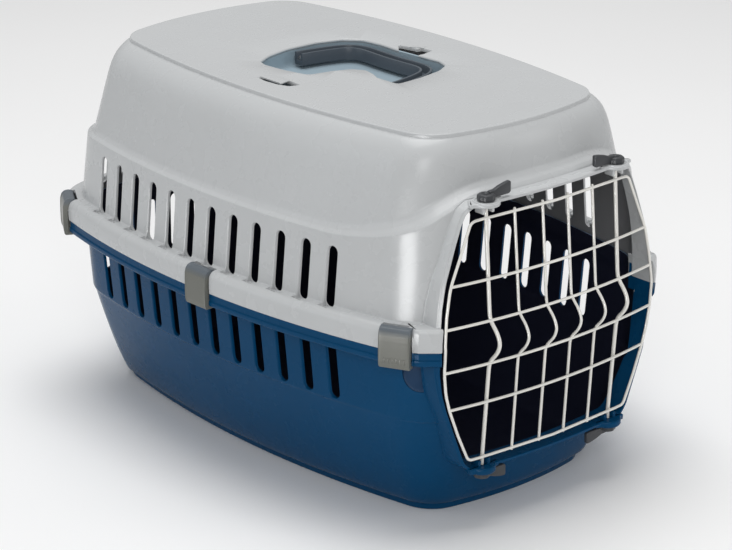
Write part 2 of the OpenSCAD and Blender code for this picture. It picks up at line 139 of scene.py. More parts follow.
def foot_z(x, y):
    z = 218.5 + 29 * clamp((-y - 110) / 100) ** 2.3
    if y < -190:
        z += 9 * math.sin(math.pi / 2 * clamp((108 - abs(x)) / 43))
    return z


def edge_z(x, y):
    return foot_z(x, y) - 1.6 - 3.6 * clamp((-y - 150) / 60)


P0 = [lp(j, dome(225)) for j in range(N)]
FZ = [foot_z(x, y) for x, y in P0]
EZ = [edge_z(x, y) for x, y in P0]


def foot_ring(d):
    return np.array([[*lp(j, ins(dome(FZ[j]), d)), FZ[j] - 0.6 * d] for j in range(N)])


def edge_ring(d):
    return np.array([[*lp(j, ins(hoodwall(EZ[j]), d)), EZ[j] - 0.6 * d] for j in range(N)])


def dome_ring(t, d, top):
    out = []
    for j in range(N):
        z = FZ[j] + (top - FZ[j]) * t
        x, y = lp(j, ins(dome(z), d))
        out.append([x, y, z - d * ((t - 0.8) * 5 if t > 0.8 else 0)])
    return np.array(out)


def wall_ring(t, z0, d):
    out = []
    for j in range(N):
        z = z0 + (EZ[j] - 1.5 - z0) * t
        out.append([*lp(j, ins(hoodwall(z), d)), z])
    return np.array(out)


# ------------------------------------------------------------------ mesh helpers
def to_m(p):
    p = np.asarray(p, float).reshape(-1, 3)
    return np.c_[p[:, 0], p[:, 1] + SY, p[:, 2]] * MM


def make(name, verts, faces, mat=None, angle=32.0, recalc=True, weld=0.0):
    me = bpy.data.meshes.new(name)
    me.from_pydata([tuple(v) for v in to_m(verts)], [], [tuple(int(i) for i in f) for f in faces])
    me.update()
    bm = bmesh.new()
    bm.from_mesh(me)
    if weld:
        bmesh.ops.remove_doubles(bm, verts=bm.verts, dist=weld * MM)
    if recalc:
        bmesh.ops.recalc_face_normals(bm, faces=bm.faces)
    bm.to_mesh(me)
    bm.free()
    ob = bpy.data.objects.new(name, me)
    scene.collection.objects.link(ob)
    if mat:
        me.materials.append(mat)
    soften(ob, angle)
    return ob


def soften(ob, angle=32.0):
    me = ob.data
    me.polygons.foreach_set("use_smooth", [True] * len(me.polygons))
    me.set_sharp_from_angle(angle=math.radians(angle))
    me.update()


def apply_mods(ob):
    bpy.context.view_layer.update()
    dg = bpy.context.evaluated_depsgraph_get()
    me = bpy.data.meshes.new_from_object(ob.evaluated_get(dg))
    ob.modifiers.clear()
    old = ob.data
    ob.data = me
    me.name = ob.name
    bpy.data.meshes.remove(old)
    return ob


ROWS = []


def rounded(rings, setback, n=4):
    """Rounds the profile of a stack of rings: at ring k every column's corner is replaced by a short curve."""
    out = []
    K = len(rings)
    ROWS.clear()
    for k in range(K):
        s = setback[k]
        if s <= 0 or k == 0 or k == K - 1:
            out.append(rings[k])
            ROWS.append(k)
            continue
        a, b = rings[k - 1] - rings[k], rings[k + 1] - rings[k]
        la, lb = np.linalg.norm(a, axis=1, keepdims=True), np.linalg.norm(b, axis=1, keepdims=True)
        t = np.minimum(s, np.minimum(la, lb) * 0.47)
        pa, pb = rings[k] + a / np.maximum(la, 1e-9) * t, rings[k] + b / np.maximum(lb, 1e-9) * t
        for i in range(n + 1):
            w = i / n
            out.append(pa * (1 - w) ** 2 + rings[k] * 2 * w * (1 - w) + pb * w * w)
            ROWS.append(k)
    return out


def paint_rows(ob, index, start_fan, end_fan, n):
    """Material index of each band from its two source rows, and of the two fans."""
    me = ob.data
    K = len(ROWS)
    idx = [index(ROWS[k], ROWS[k + 1]) for k in range(K - 1) for _ in range(n)] + [start_fan] * n + [end_fan] * n
    me.polygons.foreach_set("material_index", idx[:len(me.polygons)])
    me.update()


def grid(rings, start_centre=None, end_centre=None):
    """Vertices and faces of a stack of closed rings, with a fan at each end."""
    n = len(rings[0])
    verts = np.concatenate(rings)
    faces = []
    for k in range(len(rings) - 1):
        for j in range(n):
            j2 = (j + 1) % n
            faces.append((k * n + j, k * n + j2, (k + 1) * n + j2, (k + 1) * n + j))
    verts = list(map(tuple, verts))
    if start_centre is not None:
        c = len(verts)
        verts.append(tuple(start_centre))
        faces += [(c, (j + 1) % n, j) for j in range(n)]
    if end_centre is not None:
        c = len(verts)
        verts.append(tuple(end_centre))
        b = (len(rings) - 1) * n
        faces += [(c, b + j, b + (j + 1) % n) for j in range(n)]
    return verts, faces


def shrink(base, centre, s, z=None):
    out = base.copy()
    out[:, 0] = centre[0] + (base[:, 0] - centre[0]) * s
    out[:, 1] = centre[1] + (base[:, 1] - centre[1]) * s
    if z is not None:
        out[:, 2] = z
    return out


def loft_closed(sections):
    """A closed solid through sections of equal point count, capped with polygons."""
    n = len(sections[0])
    verts = [tuple(p) for s in sections for p in s]
    faces = []
    for k in range(len(sections) - 1):
        for j in range(n):
            j2 = (j + 1) % n
            faces.append((k * n + j, k * n + j2, (k + 1) * n + j2, (k + 1) * n + j))
    faces.append(tuple(range(n))[::-1])
    b = (len(sections) - 1) * n
    faces.append(tuple(range(b, b + n)))
    return verts, faces


def join_parts(parts):
    verts, faces = [], []
    for v, f in parts:
        o = len(verts)
        verts += list(v)
        faces += [tuple(i + o for i in q) for q in f]
    return verts, faces


def spline(points, step=2.0, closed=False):
    """Catmull-Rom through points, resampled about every step mm."""
    p = [np.array(q, float) for q in points]
    n = len(p)
    out = []
    last = n if closed else n - 1
    for i in range(last):
        p0 = p[(i - 1) % n] if closed or i > 0 else 2 * p[0] - p[1]
        p1, p2 = p[i], p[(i + 1) % n]
        p3 = p[(i + 2) % n] if closed or i + 2 < n else 2 * p[-1] - p[-2]
        d = np.linalg.norm(p2 - p1)
        m = max(1, int(math.ceil(d / step)))
        for k in range(m):
            t = k / m
            # centripetal-like tangents limited by the segment's own length
            l0, l1, l2 = np.linalg.norm(p1 - p0), d, np.linalg.norm(p3 - p2)
            t1 = ((p1 - p0) / max(l0, 1e-6) * l1 + (p2 - p1)) * 0.5
            t2 = ((p2 - p1) + (p3 - p2) / max(l2, 1e-6) * l1) * 0.5
            h00, h10 = 2 * t ** 3 - 3 * t ** 2 + 1, t ** 3 - 2 * t ** 2 + t
            h01, h11 = -2 * t ** 3 + 3 * t ** 2, t ** 3 - t ** 2
            out.append(h00 * p1 + h10 * t1 + h01 * p2 + h11 * t2)
    if not closed:
        out.append(p[-1])
    return out


def corner_round(points, r, closed=False, n=6):
    """A polyline with each corner replaced by a curve of about radius r (a number or a list)."""
    p = [np.array(q, float) for q in points]
    out = []
    K = len(p)
    for k in range(K):
        rr = r[k] if isinstance(r, (list, tuple)) else r
        if (not closed and k in (0, K - 1)) or rr <= 0:
            out.append(p[k])
            continue
        a, b = p[k - 1] - p[k], p[(k + 1) % K] - p[k]
        la, lb = np.linalg.norm(a), np.linalg.norm(b)
        a, b = a / la, b / lb
        ang = math.acos(max(-1, min(1, float(a @ b))))
        t = min(rr / max(math.tan(ang / 2), 1e-3), 0.48 * la, 0.48 * lb)
        pa, pb = p[k] + a * t, p[k] + b * t
        for i in range(n + 1):
            w = i / n
            out.append(pa * (1 - w) ** 2 + p[k] * 2 * w * (1 - w) + pb * w * w)
    return out


def tube(path, r, n=14, closed=False, cap=True, up=(0, 1, 0)):
    """A round tube along a path; r is one radius or one per point. Ends are domed."""
    p = [np.array(q, float) for q in path]
    rad = [r] * len(p) if not hasattr(r, "__len__") else list(r)
    keep = [i for i in range(len(p)) if i == 0 or np.linalg.norm(p[i] - p[i - 1]) > 1e-5]
    p, rad = [p[i] for i in keep], [rad[i] for i in keep]
    if closed and np.linalg.norm(p[0] - p[-1]) < 1e-5:
        p, rad = p[:-1], rad[:-1]
    K = len(p)
    if not closed and cap:
        d0, d1 = p[0] - p[1], p[-1] - p[-2]
        d0, d1 = d0 / np.linalg.norm(d0), d1 / np.linalg.norm(d1)
        head = [(p[0] + d0 * rad[0] * s * 0.6, rad[0] * math.sqrt(max(1 - s * s, 0.0)) + 0.02) for s in (1.0, 0.85, 0.5)]
        tail = [(p[-1] + d1 * rad[-1] * s * 0.6, rad[-1] * math.sqrt(max(1 - s * s, 0.0)) + 0.02) for s in (0.5, 0.85, 1.0)]
        p = [h[0] for h in head] + p + [t[0] for t in tail]
        rad = [h[1] for h in head] + rad + [t[1] for t in tail]
        K = len(p)
    rings = []
    for k in range(K):
        a = p[(k - 1) % K] if closed or k > 0 else p[0]
        b = p[(k + 1) % K] if closed or k < K - 1 else p[-1]
        t = b - a
        t = t / max(np.linalg.norm(t), 1e-9)
        u = np.cross(t, np.array(up, float))
        u /= np.linalg.norm(u)
        v = np.cross(u, t)
        rings.append([p[k] + rad[k] * (math.cos(2 * math.pi * i / n) * u + math.sin(2 * math.pi * i / n) * v) for i in range(n)])
    if closed:
        verts = [tuple(q) for s in rings for q in s]
        faces = [(k * n + j, k * n + (j + 1) % n, ((k + 1) % K) * n + (j + 1) % n, ((k + 1) % K) * n + j) for k in range(K) for j in range(n)]
        return verts, faces
    return loft_closed(rings)


def turned(profile, centre, n=48, axis="z"):
    """A lathe solid: profile is (radius, height) from the axis round to the axis."""
    rings = []
    for r, h in profile:
        r = max(r, 0.0)
        rings.append([(centre[0] + r * math.cos(2 * math.pi * i / n), centre[1] + r * math.sin(2 * math.pi * i / n), centre[2] + h) for i in range(n)])
    return loft_closed(rings)


def cut(ob, cutters, name, index=0):
    """Subtracts closed solids from ob; the cut faces get this material index."""
    v, f = join_parts(cutters)
    c = make(name, v, f)
    if index:
        for m in ob.data.materials:
            c.data.materials.append(m)
        c.data.polygons.foreach_set("material_index", [index] * len(c.data.polygons))
    m = ob.modifiers.new("cut", "BOOLEAN")
    m.operation = "DIFFERENCE"
    m.solver = "EXACT"
    m.object = c
    apply_mods(ob)
    bpy.data.objects.remove(c)
    return ob


def stadium(w, h, n=10):
    """Closed outline of a slot, width w, from 0 to h, as (across, along, outward normal)."""
    r = w / 2
    out = []
    for i in range(n + 1):
        a = math.pi + math.pi * i / n
        out.append((r * math.cos(a), r + r * math.sin(a), math.cos(a), math.sin(a)))
    for t in (0.25, 0.5, 0.75):
        out.append((r, r + (h - w) * t, 1.0, 0.0))
    for i in range(n + 1):
        a = math.pi * i / n
        out.append((r * math.cos(a), h - r + r * math.sin(a), math.cos(a), math.sin(a)))
    for t in (0.75, 0.5, 0.25):
        out.append((-r, r + (h - w) * t, -1.0, 0.0))
    return out


# ------------------------------------------------------------------ materials
def plastic(name, colour, rough, vary=0.03, grain=0.09, grain_scale=900.0, dark=None, coat=0.0, ior=1.49, spec=0.5, cap=None):
    """Moulded plastic: slow tone variation from the melt, a fine moulded grain, rubbed patches in the gloss."""
    m = bpy.data.materials.new(name)
    m.use_nodes = True
    nt = m.node_tree
    nt.nodes.clear()
    out = nt.nodes.new("ShaderNodeOutputMaterial")
    bs = nt.nodes.new("ShaderNodeBsdfPrincipled")
    nt.links.new(bs.outputs[0], out.inputs[0])
    co = nt.nodes.new("ShaderNodeTexCoord")
    slow = nt.nodes.new("ShaderNodeTexNoise")
    slow.inputs["Scale"].default_value = 9.0
    slow.inputs["Detail"].default_value = 3.0
    nt.links.new(co.outputs["Object"], slow.inputs["Vector"])
    ramp = nt.nodes.new("ShaderNodeValToRGB")
    ramp.color_ramp.elements[0].position = 0.3
    ramp.color_ramp.elements[1].position = 0.7
    lo = [c * (1 - vary) for c in colour] if dark is None else dark
    hi = [min(1, c * (1 + vary)) for c in colour]
    ramp.color_ramp.elements[0].color = (*lo, 1)
    ramp.color_ramp.elements[1].color = (*hi, 1)
    nt.links.new(slow.outputs["Fac"], ramp.inputs["Fac"])
    if cap:
        # painted shade: a darker, bluer tone above a height, softly blended
        sep = nt.nodes.new("ShaderNodeSeparateXYZ")
        nt.links.new(co.outputs["Object"], sep.inputs["Vector"])
        up = nt.nodes.new("ShaderNodeMapRange")
        up.inputs["From Min"].default_value = cap[0]
        up.inputs["From Max"].default_value = cap[1]
        nt.links.new(sep.outputs["Z"], up.inputs["Value"])
        mix = nt.nodes.new("ShaderNodeMix")
        mix.data_type = "RGBA"
        nt.links.new(up.outputs["Result"], mix.inputs["Factor"])
        nt.links.new(ramp.outputs["Color"], mix.inputs["A"])
        mix.inputs["B"].default_value = (*cap[2], 1)
        nt.links.new(mix.outputs["Result"], bs.inputs["Base Color"])
    else:
        nt.links.new(ramp.outputs["Color"], bs.inputs["Base Color"])
    mid = nt.nodes.new("ShaderNodeTexNoise")
    mid.inputs["Scale"].default_value = 45.0
    mid.inputs["Detail"].default_value = 5.0
    nt.links.new(co.outputs["Object"], mid.inputs["Vector"])
    mr = nt.nodes.new("ShaderNodeMapRange")
    mr.inputs["From Min"].default_value = 0.3
    mr.inputs["From Max"].default_value = 0.7
    mr.inputs["To Min"].default_value = rough * 0.88
    mr.inputs["To Max"].default_value = rough * 1.12
    nt.links.new(mid.outputs["Fac"], mr.inputs["Value"])
    nt.links.new(mr.outputs["Result"], bs.inputs["Roughness"])
    fine = nt.nodes.new("ShaderNodeTexNoise")
    fine.inputs["Scale"].default_value = grain_scale
    fine.inputs["Detail"].default_value = 2.0
    nt.links.new(co.outputs["Object"], fine.inputs["Vector"])
    bump = nt.nodes.new("ShaderNodeBump")
    bump.inputs["Strength"].default_value = grain
    bump.inputs["Distance"].default_value = 0.00008
    nt.links.new(fine.outputs["Fac"], bump.inputs["Height"])
    nt.links.new(bump.outputs["Normal"], bs.inputs["Normal"])
    bs.inputs["IOR"].default_value = ior
    bs.inputs["Specular IOR Level"].default_value = spec
    bs.inputs["Coat Weight"].default_value = coat
    bs.inputs["Coat Roughness"].default_value = 0.12
    return m


mat_hood = plastic("hood_plastic", (0.545, 0.558, 0.565), 0.27, vary=0.015, spec=0.4)
# painted shade: the hood's inner faces get this dark grey copy of the hood plastic
mat_hood_in_shade = plastic("hood_inside_painted_shade", (0.26, 0.262, 0.27), 0.45, vary=0.05, spec=0.2)
# painted shade: the handle's hollow gets a darker, bluer copy of the hood plastic
mat_hollow_shade = plastic("hood_hollow_painted_shade", (0.33, 0.42, 0.48), 0.34, vary=0.03, spec=0.3)
mat_tray = plastic("tray_plastic", (0.002, 0.055, 0.142), 0.27, vary=0.05, ior=1.22, spec=0.3)
mat_tray_shade = plastic("tray_shadow_plastic", (0.001, 0.026, 0.075), 0.4, vary=0.05, ior=1.2)
# painted highlight: a light blue copy of the tray plastic for the top face of the tray's tongue
mat_tongue_highlight = plastic("tray_tongue_painted_highlight", (0.20, 0.29, 0.42), 0.3, vary=0.04, ior=1.3)
# painted shade: the tray's inner faces get this near-black copy of the tray plastic
mat_tray_in_shade = plastic("tray_inside_painted_shade", (0.014, 0.016, 0.034), 0.5, vary=0.05, ior=1.2)
# clip colour, and painted shade: above 158.5 mm the clips' curled tops blend to a darker, bluer tone
mat_clip_with_shade = plastic("clip_plastic", (0.165, 0.168, 0.15), 0.32, vary=0.04, spec=0.3, cap=(0.1585, 0.1630, (0.13, 0.15, 0.17)))
mat_latch = plastic("latch_plastic", (0.055, 0.058, 0.063), 0.34, vary=0.05, spec=0.3)
mat_handle = plastic("handle_plastic", (0.075, 0.092, 0.112), 0.32, vary=0.05, spec=0.3)


def wire_material():
    """Thick glossy epoxy coat on steel wire: creamy white, slightly uneven, a touch darker in places."""
    m = plastic("wire_coat", (0.86, 0.845, 0.795), 0.16, vary=0.04, grain=0.12, grain_scale=260.0, coat=0.6)
    return m


def steel_material():
    m = bpy.data.materials.new("pin_steel")
    m.use_nodes = True
    nt = m.node_tree
    bs = nt.nodes["Principled BSDF"]
    bs.inputs["Metallic"].default_value = 1.0
    co = nt.nodes.new("ShaderNodeTexCoord")
    mp = nt.nodes.new("ShaderNodeMapping")
    mp.inputs["Scale"].default_value = (400, 60, 400)
    nz = nt.nodes.new("ShaderNodeTexNoise")
    nz.inputs["Scale"].default_value = 5.0
    nt.links.new(co.outputs["Object"], mp.inputs["Vector"])
    nt.links.new(mp.outputs["Vector"], nz.inputs["Vector"])
    ramp = nt.nodes.new("ShaderNodeValToRGB")
    ramp.color_ramp.elements[0].color = (0.42, 0.42, 0.43, 1)
    ramp.color_ramp.elements[1].color = (0.62, 0.62, 0.63, 1)
    nt.links.new(nz.outputs["Fac"], ramp.inputs["Fac"])
    nt.links.new(ramp.outputs["Color"], bs.inputs["Base Color"])
    mr = nt.nodes.new("ShaderNodeMapRange")
    mr.inputs["To Min"].default_value = 0.22
    mr.inputs["To Max"].default_value = 0.4
    nt.links.new(nz.outputs["Fac"], mr.inputs["Value"])
    nt.links.new(mr.outputs["Result"], bs.inputs["Roughness"])
    return m


mat_wire = wire_material()
mat_pin = steel_material()


# ------------------------------------------------------------------ opening
OH = [(74, 247.5), (81.5, 243.5), (86, 235.5), (92.2, 220), (101.2, 195), (104.9, 178), (106.9, 163), (107.8, 147),
      (107.6, 130), (105.4, 113.5), (101.2, 98.5), (94.6, 81.5), (87.6, 64), (83.6, 54), (77, 48)]


def half_opening(step=3.0):
    """The right half of the opening's outline, top to bottom, smooth, as (x, z, nx, nz)."""
    up = corner_round([(0, 247.5), (66, 247.5)] + OH[:1] + OH[1:7] + [OH[7]], [0, 6, 8, 9, 20, 60, 60, 60, 60, 0], n=5)
    dn = corner_round([OH[7]] + OH[8:] + [(66, 48), (0, 48)], [0, 60, 60, 60, 60, 40, 14, 9, 6, 0], n=5)
    def dense(pl):
        out = [pl[0]]
        for a, b in zip(pl[:-1], pl[1:]):
            d = np.linalg.norm(b - a)
            k = max(1, int(math.ceil(d / step)))
            for i in range(1, k + 1):
                out.append(a + (b - a) * i / k)
        keep = [out[0]]
        for q in out[1:]:
            if np.linalg.norm(q - keep[-1]) > 0.15:
                keep.append(q)
        return keep
    return dense(up), dense(dn)


UP, DN = half_opening()


def with_normals(pl):
    out = []
    for i, p in enumerate(pl):
        a, b = pl[max(i - 1, 0)], pl[min(i + 1, len(pl) - 1)]
        t = (b - a) / np.linalg.norm(b - a)
        out.append((p[0], p[1], -t[1], t[0]))
    return out


UPN = with_normals(UP)
DNN = with_normals(DN)
UPN[0] = (UPN[0][0], UPN[0][1], 0.0, 1.0)
DNN[-1] = (DNN[-1][0], DNN[-1][1], 0.0, -1.0)
UPN[-1] = (UPN[-1][0], UPN[-1][1], 1.0, 0.0)
DNN[0] = (DNN[0][0], DNN[0][1], 1.0, 0.0)


def opening_outline(d):
    r = [(x + d * a, z + d * b) for x, z, a, b in UPN] + [(x + d * a, z + d * b) for x, z, a, b in DNN[1:]]
    l = [(-x, z) for x, z in r[::-1]]
    full = r + l[1:-1]
    return full


def tunnel_cutter(d=0.0, y0=-262.0, y1=-150.0):
    o = opening_outline(d)
    return loft_closed([[(x, y, z) for x, z in o] for y in (y0, y1)])


def door_y(x, z):
    return -238 + 9.13 * (x / 100) ** 2 + (0.085 if z > PART_Z else -0.066) * (z - PART_Z)


# ------------------------------------------------------------------ side slots
def slot_cutters(level, z0, h=46.0, w=9.3, count=12, pitch=25.0):
    """Slots through both side walls, with a moulded radius at the outer edge."""
    out = []
    st = stadium(w, h)
    prof = [(2.5, 1.9), (0.5, 0.95), (0.0, 0.62), (-0.3, 0.33), (-0.65, 0.12), (-1.05, 0.0), (-9.0, 0.0)]
    for i in range(count):
        dy = (i - (count - 1) / 2) * pitch
        for s in (1, -1):
            secs = []
            for off, grow in prof:
                sec = []
                for a, b, na, nb in st:
                    y, z = dy + a + na * grow, z0 + b + nb * grow
                    sec.append((s * (side_x(level(z0 + b), y) + off), 3 + y, z))
                secs.append(sec)
            out.append(loft_closed(secs))
    return out


def rear_y(L, x):
    """y of an outline's rear at this x."""
    A, B, Rs, Re, r = L[0], L[6], L[2], L[7], L[8]
    c = cc(A, B, Rs, Re, r)
    x = abs(x)
    t2 = math.atan2(c[1] + Re - B, c[0])
    if x <= Re * math.cos(t2):
        return L[1] + (B - Re + math.sqrt(Re * Re - x * x))
    d = min(x - c[0], r)
    return L[1] + (c[1] + math.sqrt(max(r * r - d * d, 0)))


def rear_cutters(level, z0, h=46.0, w=9.3, count=8, pitch=25.0):
    """Slots through the back wall."""
    out = []
    st = stadium(w, h)
    prof = [(2.5, 1.9), (0.5, 0.95), (0.0, 0.62), (-0.3, 0.33), (-0.65, 0.12), (-1.05, 0.0), (-9.0, 0.0)]
    for i in range(count):
        dx = (i - (count - 1) / 2) * pitch
        secs = []
        for off, grow in prof:
            sec = []
            for a, b, na, nb in st:
                x, z = dx + a + na * grow, z0 + b + nb * grow
                sec.append((x, rear_y(level(z0 + b), x) + off, z))
            secs.append(sec)
        out.append(loft_closed(secs))
    return out


# ------------------------------------------------------------------ clips' places
def clip_at(i, right):
    if i == 1 or (i == 0 and right):
        t = -1.1 if i == 1 else -12.2
        return RIM[0] - 802 + 802 * math.cos(math.radians(t)), 3 + 802 * math.sin(math.radians(t)), t
    if i == 0:
        c, t = cc(RIM[0], RIM[3], RIM[2], RIM[4], RIM[5]), 27
        return c[0] + RIM[5] * math.cos(math.radians(t)), 3 - c[1] - RIM[5] * math.sin(math.radians(t)), -t
    c, t = cc(RIM[0], RIM[6], RIM[2], RIM[7], RIM[8]), 30
    return c[0] + RIM[8] * math.cos(math.radians(t)), 3 + c[1] + RIM[8] * math.sin(math.radians(t)), t


def on_rim(i, right, pts):
    """Local (out, along, z) to the shared frame, in mm."""
    x, y, t = clip_at(i, right)
    c, s = math.cos(math.radians(t)), math.sin(math.radians(t))
    out = []
    for a, b, z in pts:
        px, py = x + a * c - b * s, y + a * s + b * c
        out.append((px if right else -px, py, z))
    return out


CLIP_W = 23.5


def notch_cutters():
    out = []
    w = CLIP_W / 2 + 0.6
    for i in range(3):
        for right in (True, False):
            secs = []
            for x, g in ((-9.4, 0), (-3.2, 0), (-1.6, 0.15), (-0.6, 0.55), (0.2, 1.3), (1.0, 2.6), (6, 9)):
                secs.append(on_rim(i, right, [(x, -w - g, 145.5), (x, w + g, 145.5), (x, w + g, 171), (x, -w - g, 171)]))
            out.append(loft_closed(secs))
    return out


ROD_Y = -224.6


# ------------------------------------------------------------------ hood
WELL = [(-54, 33), (-51, 43), (-36, 51.5), (-12, 57.6), (16, 57), (38, 50), (49, 38), (51.5, 20), (50.5, 0), (52, -22), (53.5, -46),
        (49, -58), (34, -66), (10, -70.5), (-12, -71.6), (-12.6, -50), (-8.5, -41), (-5.5, -29), (-12, -19), (-28, -12.5), (-47, -9), (-52, 12)]
WELL_R = [5, 6, 30, 40, 30, 12, 12, 30, 60, 60, 12, 8, 30, 30, 2.5, 6, 12, 7, 8, 20, 6, 20]
WELL_S = corner_round(WELL, WELL_R, closed=True, n=5)


def well_outline(d):
    p = WELL_S
    n = len(p)
    out = []
    for i in range(n):
        a, b = p[i - 1], p[(i + 1) % n]
        t = (b - a) / np.linalg.norm(b - a)
        nrm = np.array([t[1], -t[0]])          # the outline runs clockwise seen from above
        if signed > 0:
            nrm = nrm
        out.append(p[i] + d * nrm * ORIENT)
    return out


area = sum(WELL_S[i - 1][0] * WELL_S[i][1] - WELL_S[i][0] * WELL_S[i - 1][1] for i in range(len(WELL_S))) / 2
signed = area
ORIENT = 1.0 if area > 0 else -1.0


def build_hood():
    w = WALL
    centre = (0.0, -5.6)
    top_in = ring(290.2, ins(PANEL, 8))
    rings, sb = [], []

    def add(r, s=0.0):
        rings.append(r)
        sb.append(s)
    for s in (0.1, 0.4, 0.7):
        add(shrink(top_in, centre, s))
    add(top_in)
    add(ring(288.4, ins(PANEL, 4.5)), 3)
    for t in (0.9, 0.82, 0.72, 0.58, 0.4, 0.2):
        add(dome_ring(t, w, 290), 9)
    add(foot_ring(w), 1.5)
    add(edge_ring(w), 1.5)
    for t in (1, 0.75, 0.5, 0.25, 0.1):
        add(wall_ring(t, 164.6, w))
    add(ring(160.0, ins(hoodwall(164), w)))
    add(ring(PART_Z, ins(hoodwall(164), w)), 0.3)
    last_inner = len(rings) - 1
    add(ring(PART_Z, ins(hoodwall(164), -0.3)), 0.3)
    add(ring(161.4, ins(hoodwall(164), -0.3)), 0.8)
    add(ring(161.4, ins(RIM, 3)), 0.8)
    add(ring(PART_Z, ins(RIM, 3)), 0.3)
    add(ring(PART_Z, ins(RIM, 0.75)), 0.4)
    add(ring(148.2, ins(RIM, 0.25)), 0.8)
    add(ring(151.5, ins(RIM, 0.0)), 2)
    add(ring(156.5, ins(RIM, 0.05)), 2.5)
    add(ring(160.6, ins(RIM, 1.0)), 2.5)
    add(ring(163.3, ins(RIM, 3.1)), 1.8)
    add(ring(164.5, ins(RIM, 6.4)), 2.0)
    add(ring(164.6, ins(hoodwall(164), -0.1)), 1.3)
    for t in (0.08, 0.25, 0.45, 0.65, 0.85, 0.96):
        add(wall_ring(t, 164.6, 0))
    add(edge_ring(0), 0.7)
    e0, f0 = edge_ring(0), foot_ring(0)
    flare = f0 + (e0 - f0) * 0.74
    flare[:, 2] = e0[:, 2] + 0.42 * (f0[:, 2] - e0[:, 2]) + 0.15
    add(flare, 0.5)
    d1 = dome_ring(0.05, 0, 290)
    add(0.5 * (flare + d1) + np.array([0, 0, -0.7]), 0.9)
    add(d1, 2.2)
    for t in (0.12, 0.2, 0.3, 0.4, 0.5, 0.6, 0.69, 0.76, 0.82, 0.87, 0.91, 0.94, 0.965, 0.985):
        add(dome_ring(t, 0, 290), 0)
    add(ring(289.7, PANEL), 0.6)
    add(ring(TOP_Z, PANEL), 1.1)
    top = ring(TOP_Z, ins(PANEL, 2.6))
    add(top, 0)
    for s in (0.97, 0.9, 0.75, 0.5, 0.25, 0.1):
        add(shrink(top, centre, s))
    full = rounded(rings, sb)
    v, f = grid(full, (centre[0], centre[1], 290.2), (centre[0], centre[1], TOP_Z))
    ob = make("hood_shell", v, f, mat_hood)
    ob.data.materials.append(mat_hood_in_shade)
    # the inner rows get the painted-shade inside material
    paint_rows(ob, lambda a, b: 1 if b <= last_inner else 0, 1, 0, N)
    cutters = slot_cutters(hoodwall, 162.0) + rear_cutters(hoodwall, 162.0)
    cut(ob, cutters, "c1")
    cutters = notch_cutters() + [tunnel_cutter(0.05)]
    # hollow under the handle, its top edge rounded
    secs = [[(x, y, z) for x, y in well_outline(g)] for z, g in ((280, 0.02), (290.9, 0.02), (291.6, 0.12), (292.2, 0.42), (292.6, 0.9), (292.85, 1.5), (294, 3.2))]
    cutters.append(loft_closed(secs))
    cut(ob, cutters, "c2")
    # strap slots: one under a raised lip, the other open toward the hollow
    near = [(-81.3, 9.5), (-82.6, -2.0), (-81.6, -14.0), (-78.5, -22.5), (-70.0, -26.0), (-69.0, -15.0), (-69.4, 6.0), (-74.0, 10.0)]
    far = [(59.5, 7.0), (49.3, -4.5), (50.0, -15.0), (51.4, -23.0), (56.0, -24.6), (68.4, -21.5), (67.2, -11.5), (63.0, -10.4), (61.4, -1.5)]
    for o in (near, far):
        o = corner_round(o, 1.2, closed=True, n=3)
        c = sum(o) / len(o)
        secs = []
        for z, g in ((284, 0), (291.6, 0), (292.3, 0.02), (292.7, 0.05), (293.4, 0.1)):
            secs.append([(c[0] + (p[0] - c[0]) * (1 + g), c[1] + (p[1] - c[1]) * (1 + g), z) for p in o])
        cut(ob, [loft_closed(secs)], "c2b")
    # scoops in the ledge at the foot of each slot
    sc = []
    for i in range(12):
        dy = (i - 5.5) * 25.0
        for s in (1, -1):
            x0 = side_x(hoodwall(164), dy)
            secs = []
            for dx, hw, z in ((-1.2, 4.62, 162.0), (0.2, 4.62, 162.1), (3.0, 4.7, 163.0), (6.2, 4.85, 164.25), (8.4, 5.0, 165.2)):
                secs.append([(s * (x0 + dx), 3 + dy - hw, z), (s * (x0 + dx), 3 + dy + hw, z), (s * (x0 + dx), 3 + dy + hw + 0.5, z + 4.5), (s * (x0 + dx), 3 + dy - hw - 0.5, z + 4.5)])
            sc.append(loft_closed(secs))
    for i in range(8):
        dx = (i - 3.5) * 25.0
        y0 = rear_y(hoodwall(164), dx)
        secs = []
        for d, hw, z in ((-1.2, 4.62, 162.0), (0.2, 4.62, 162.1), (3.0, 4.7, 163.0), (6.2, 4.85, 164.25), (8.4, 5.0, 165.2)):
            secs.append([(dx - hw, y0 + d, z), (dx + hw, y0 + d, z), (dx + hw + 0.5, y0 + d, z + 4.5), (dx - hw - 0.5, y0 + d, z + 4.5)])
        sc.append(loft_closed(secs))
    cut(ob, sc, "c3")
    soften(ob, 30)
    return ob


def end_hollow(sx, R=13.4):
    """Cutter of the shallow round hollow that follows the tray's corner under the rim's end."""
    L = traywall(126)
    c = cc(L[0], L[3], L[2], L[4], L[5])
    t0, z0 = math.radians(43.0), 124.6

    def at(s, z, off):
        t = t0 + s / 45.0
        return (sx * (c[0] + (45 + off) * math.cos(t)), 3 - c[1] - (45 + off) * math.sin(t), z)
    n = 56
    rings = []
    for rr, off in ((0.15, -1.7), (0.4, -1.7), (0.65, -1.7), (0.85, -1.7), (0.95, -1.68), (0.99, -1.5), (1.0, -1.2), (1.0, -0.5), (1.01, -0.15), (1.03, 0.05), (1.05, 0.5), (1.05, 4.0), (0.7, 4.0), (0.3, 4.0)):
        rings.append(np.array([at(rr * R * math.cos(2 * math.pi * i / n), z0 + rr * R * math.sin(2 * math.pi * i / n), off) for i in range(n)]))
    return grid(rings, at(0, z0, -1.7), at(0, z0, 4.0))


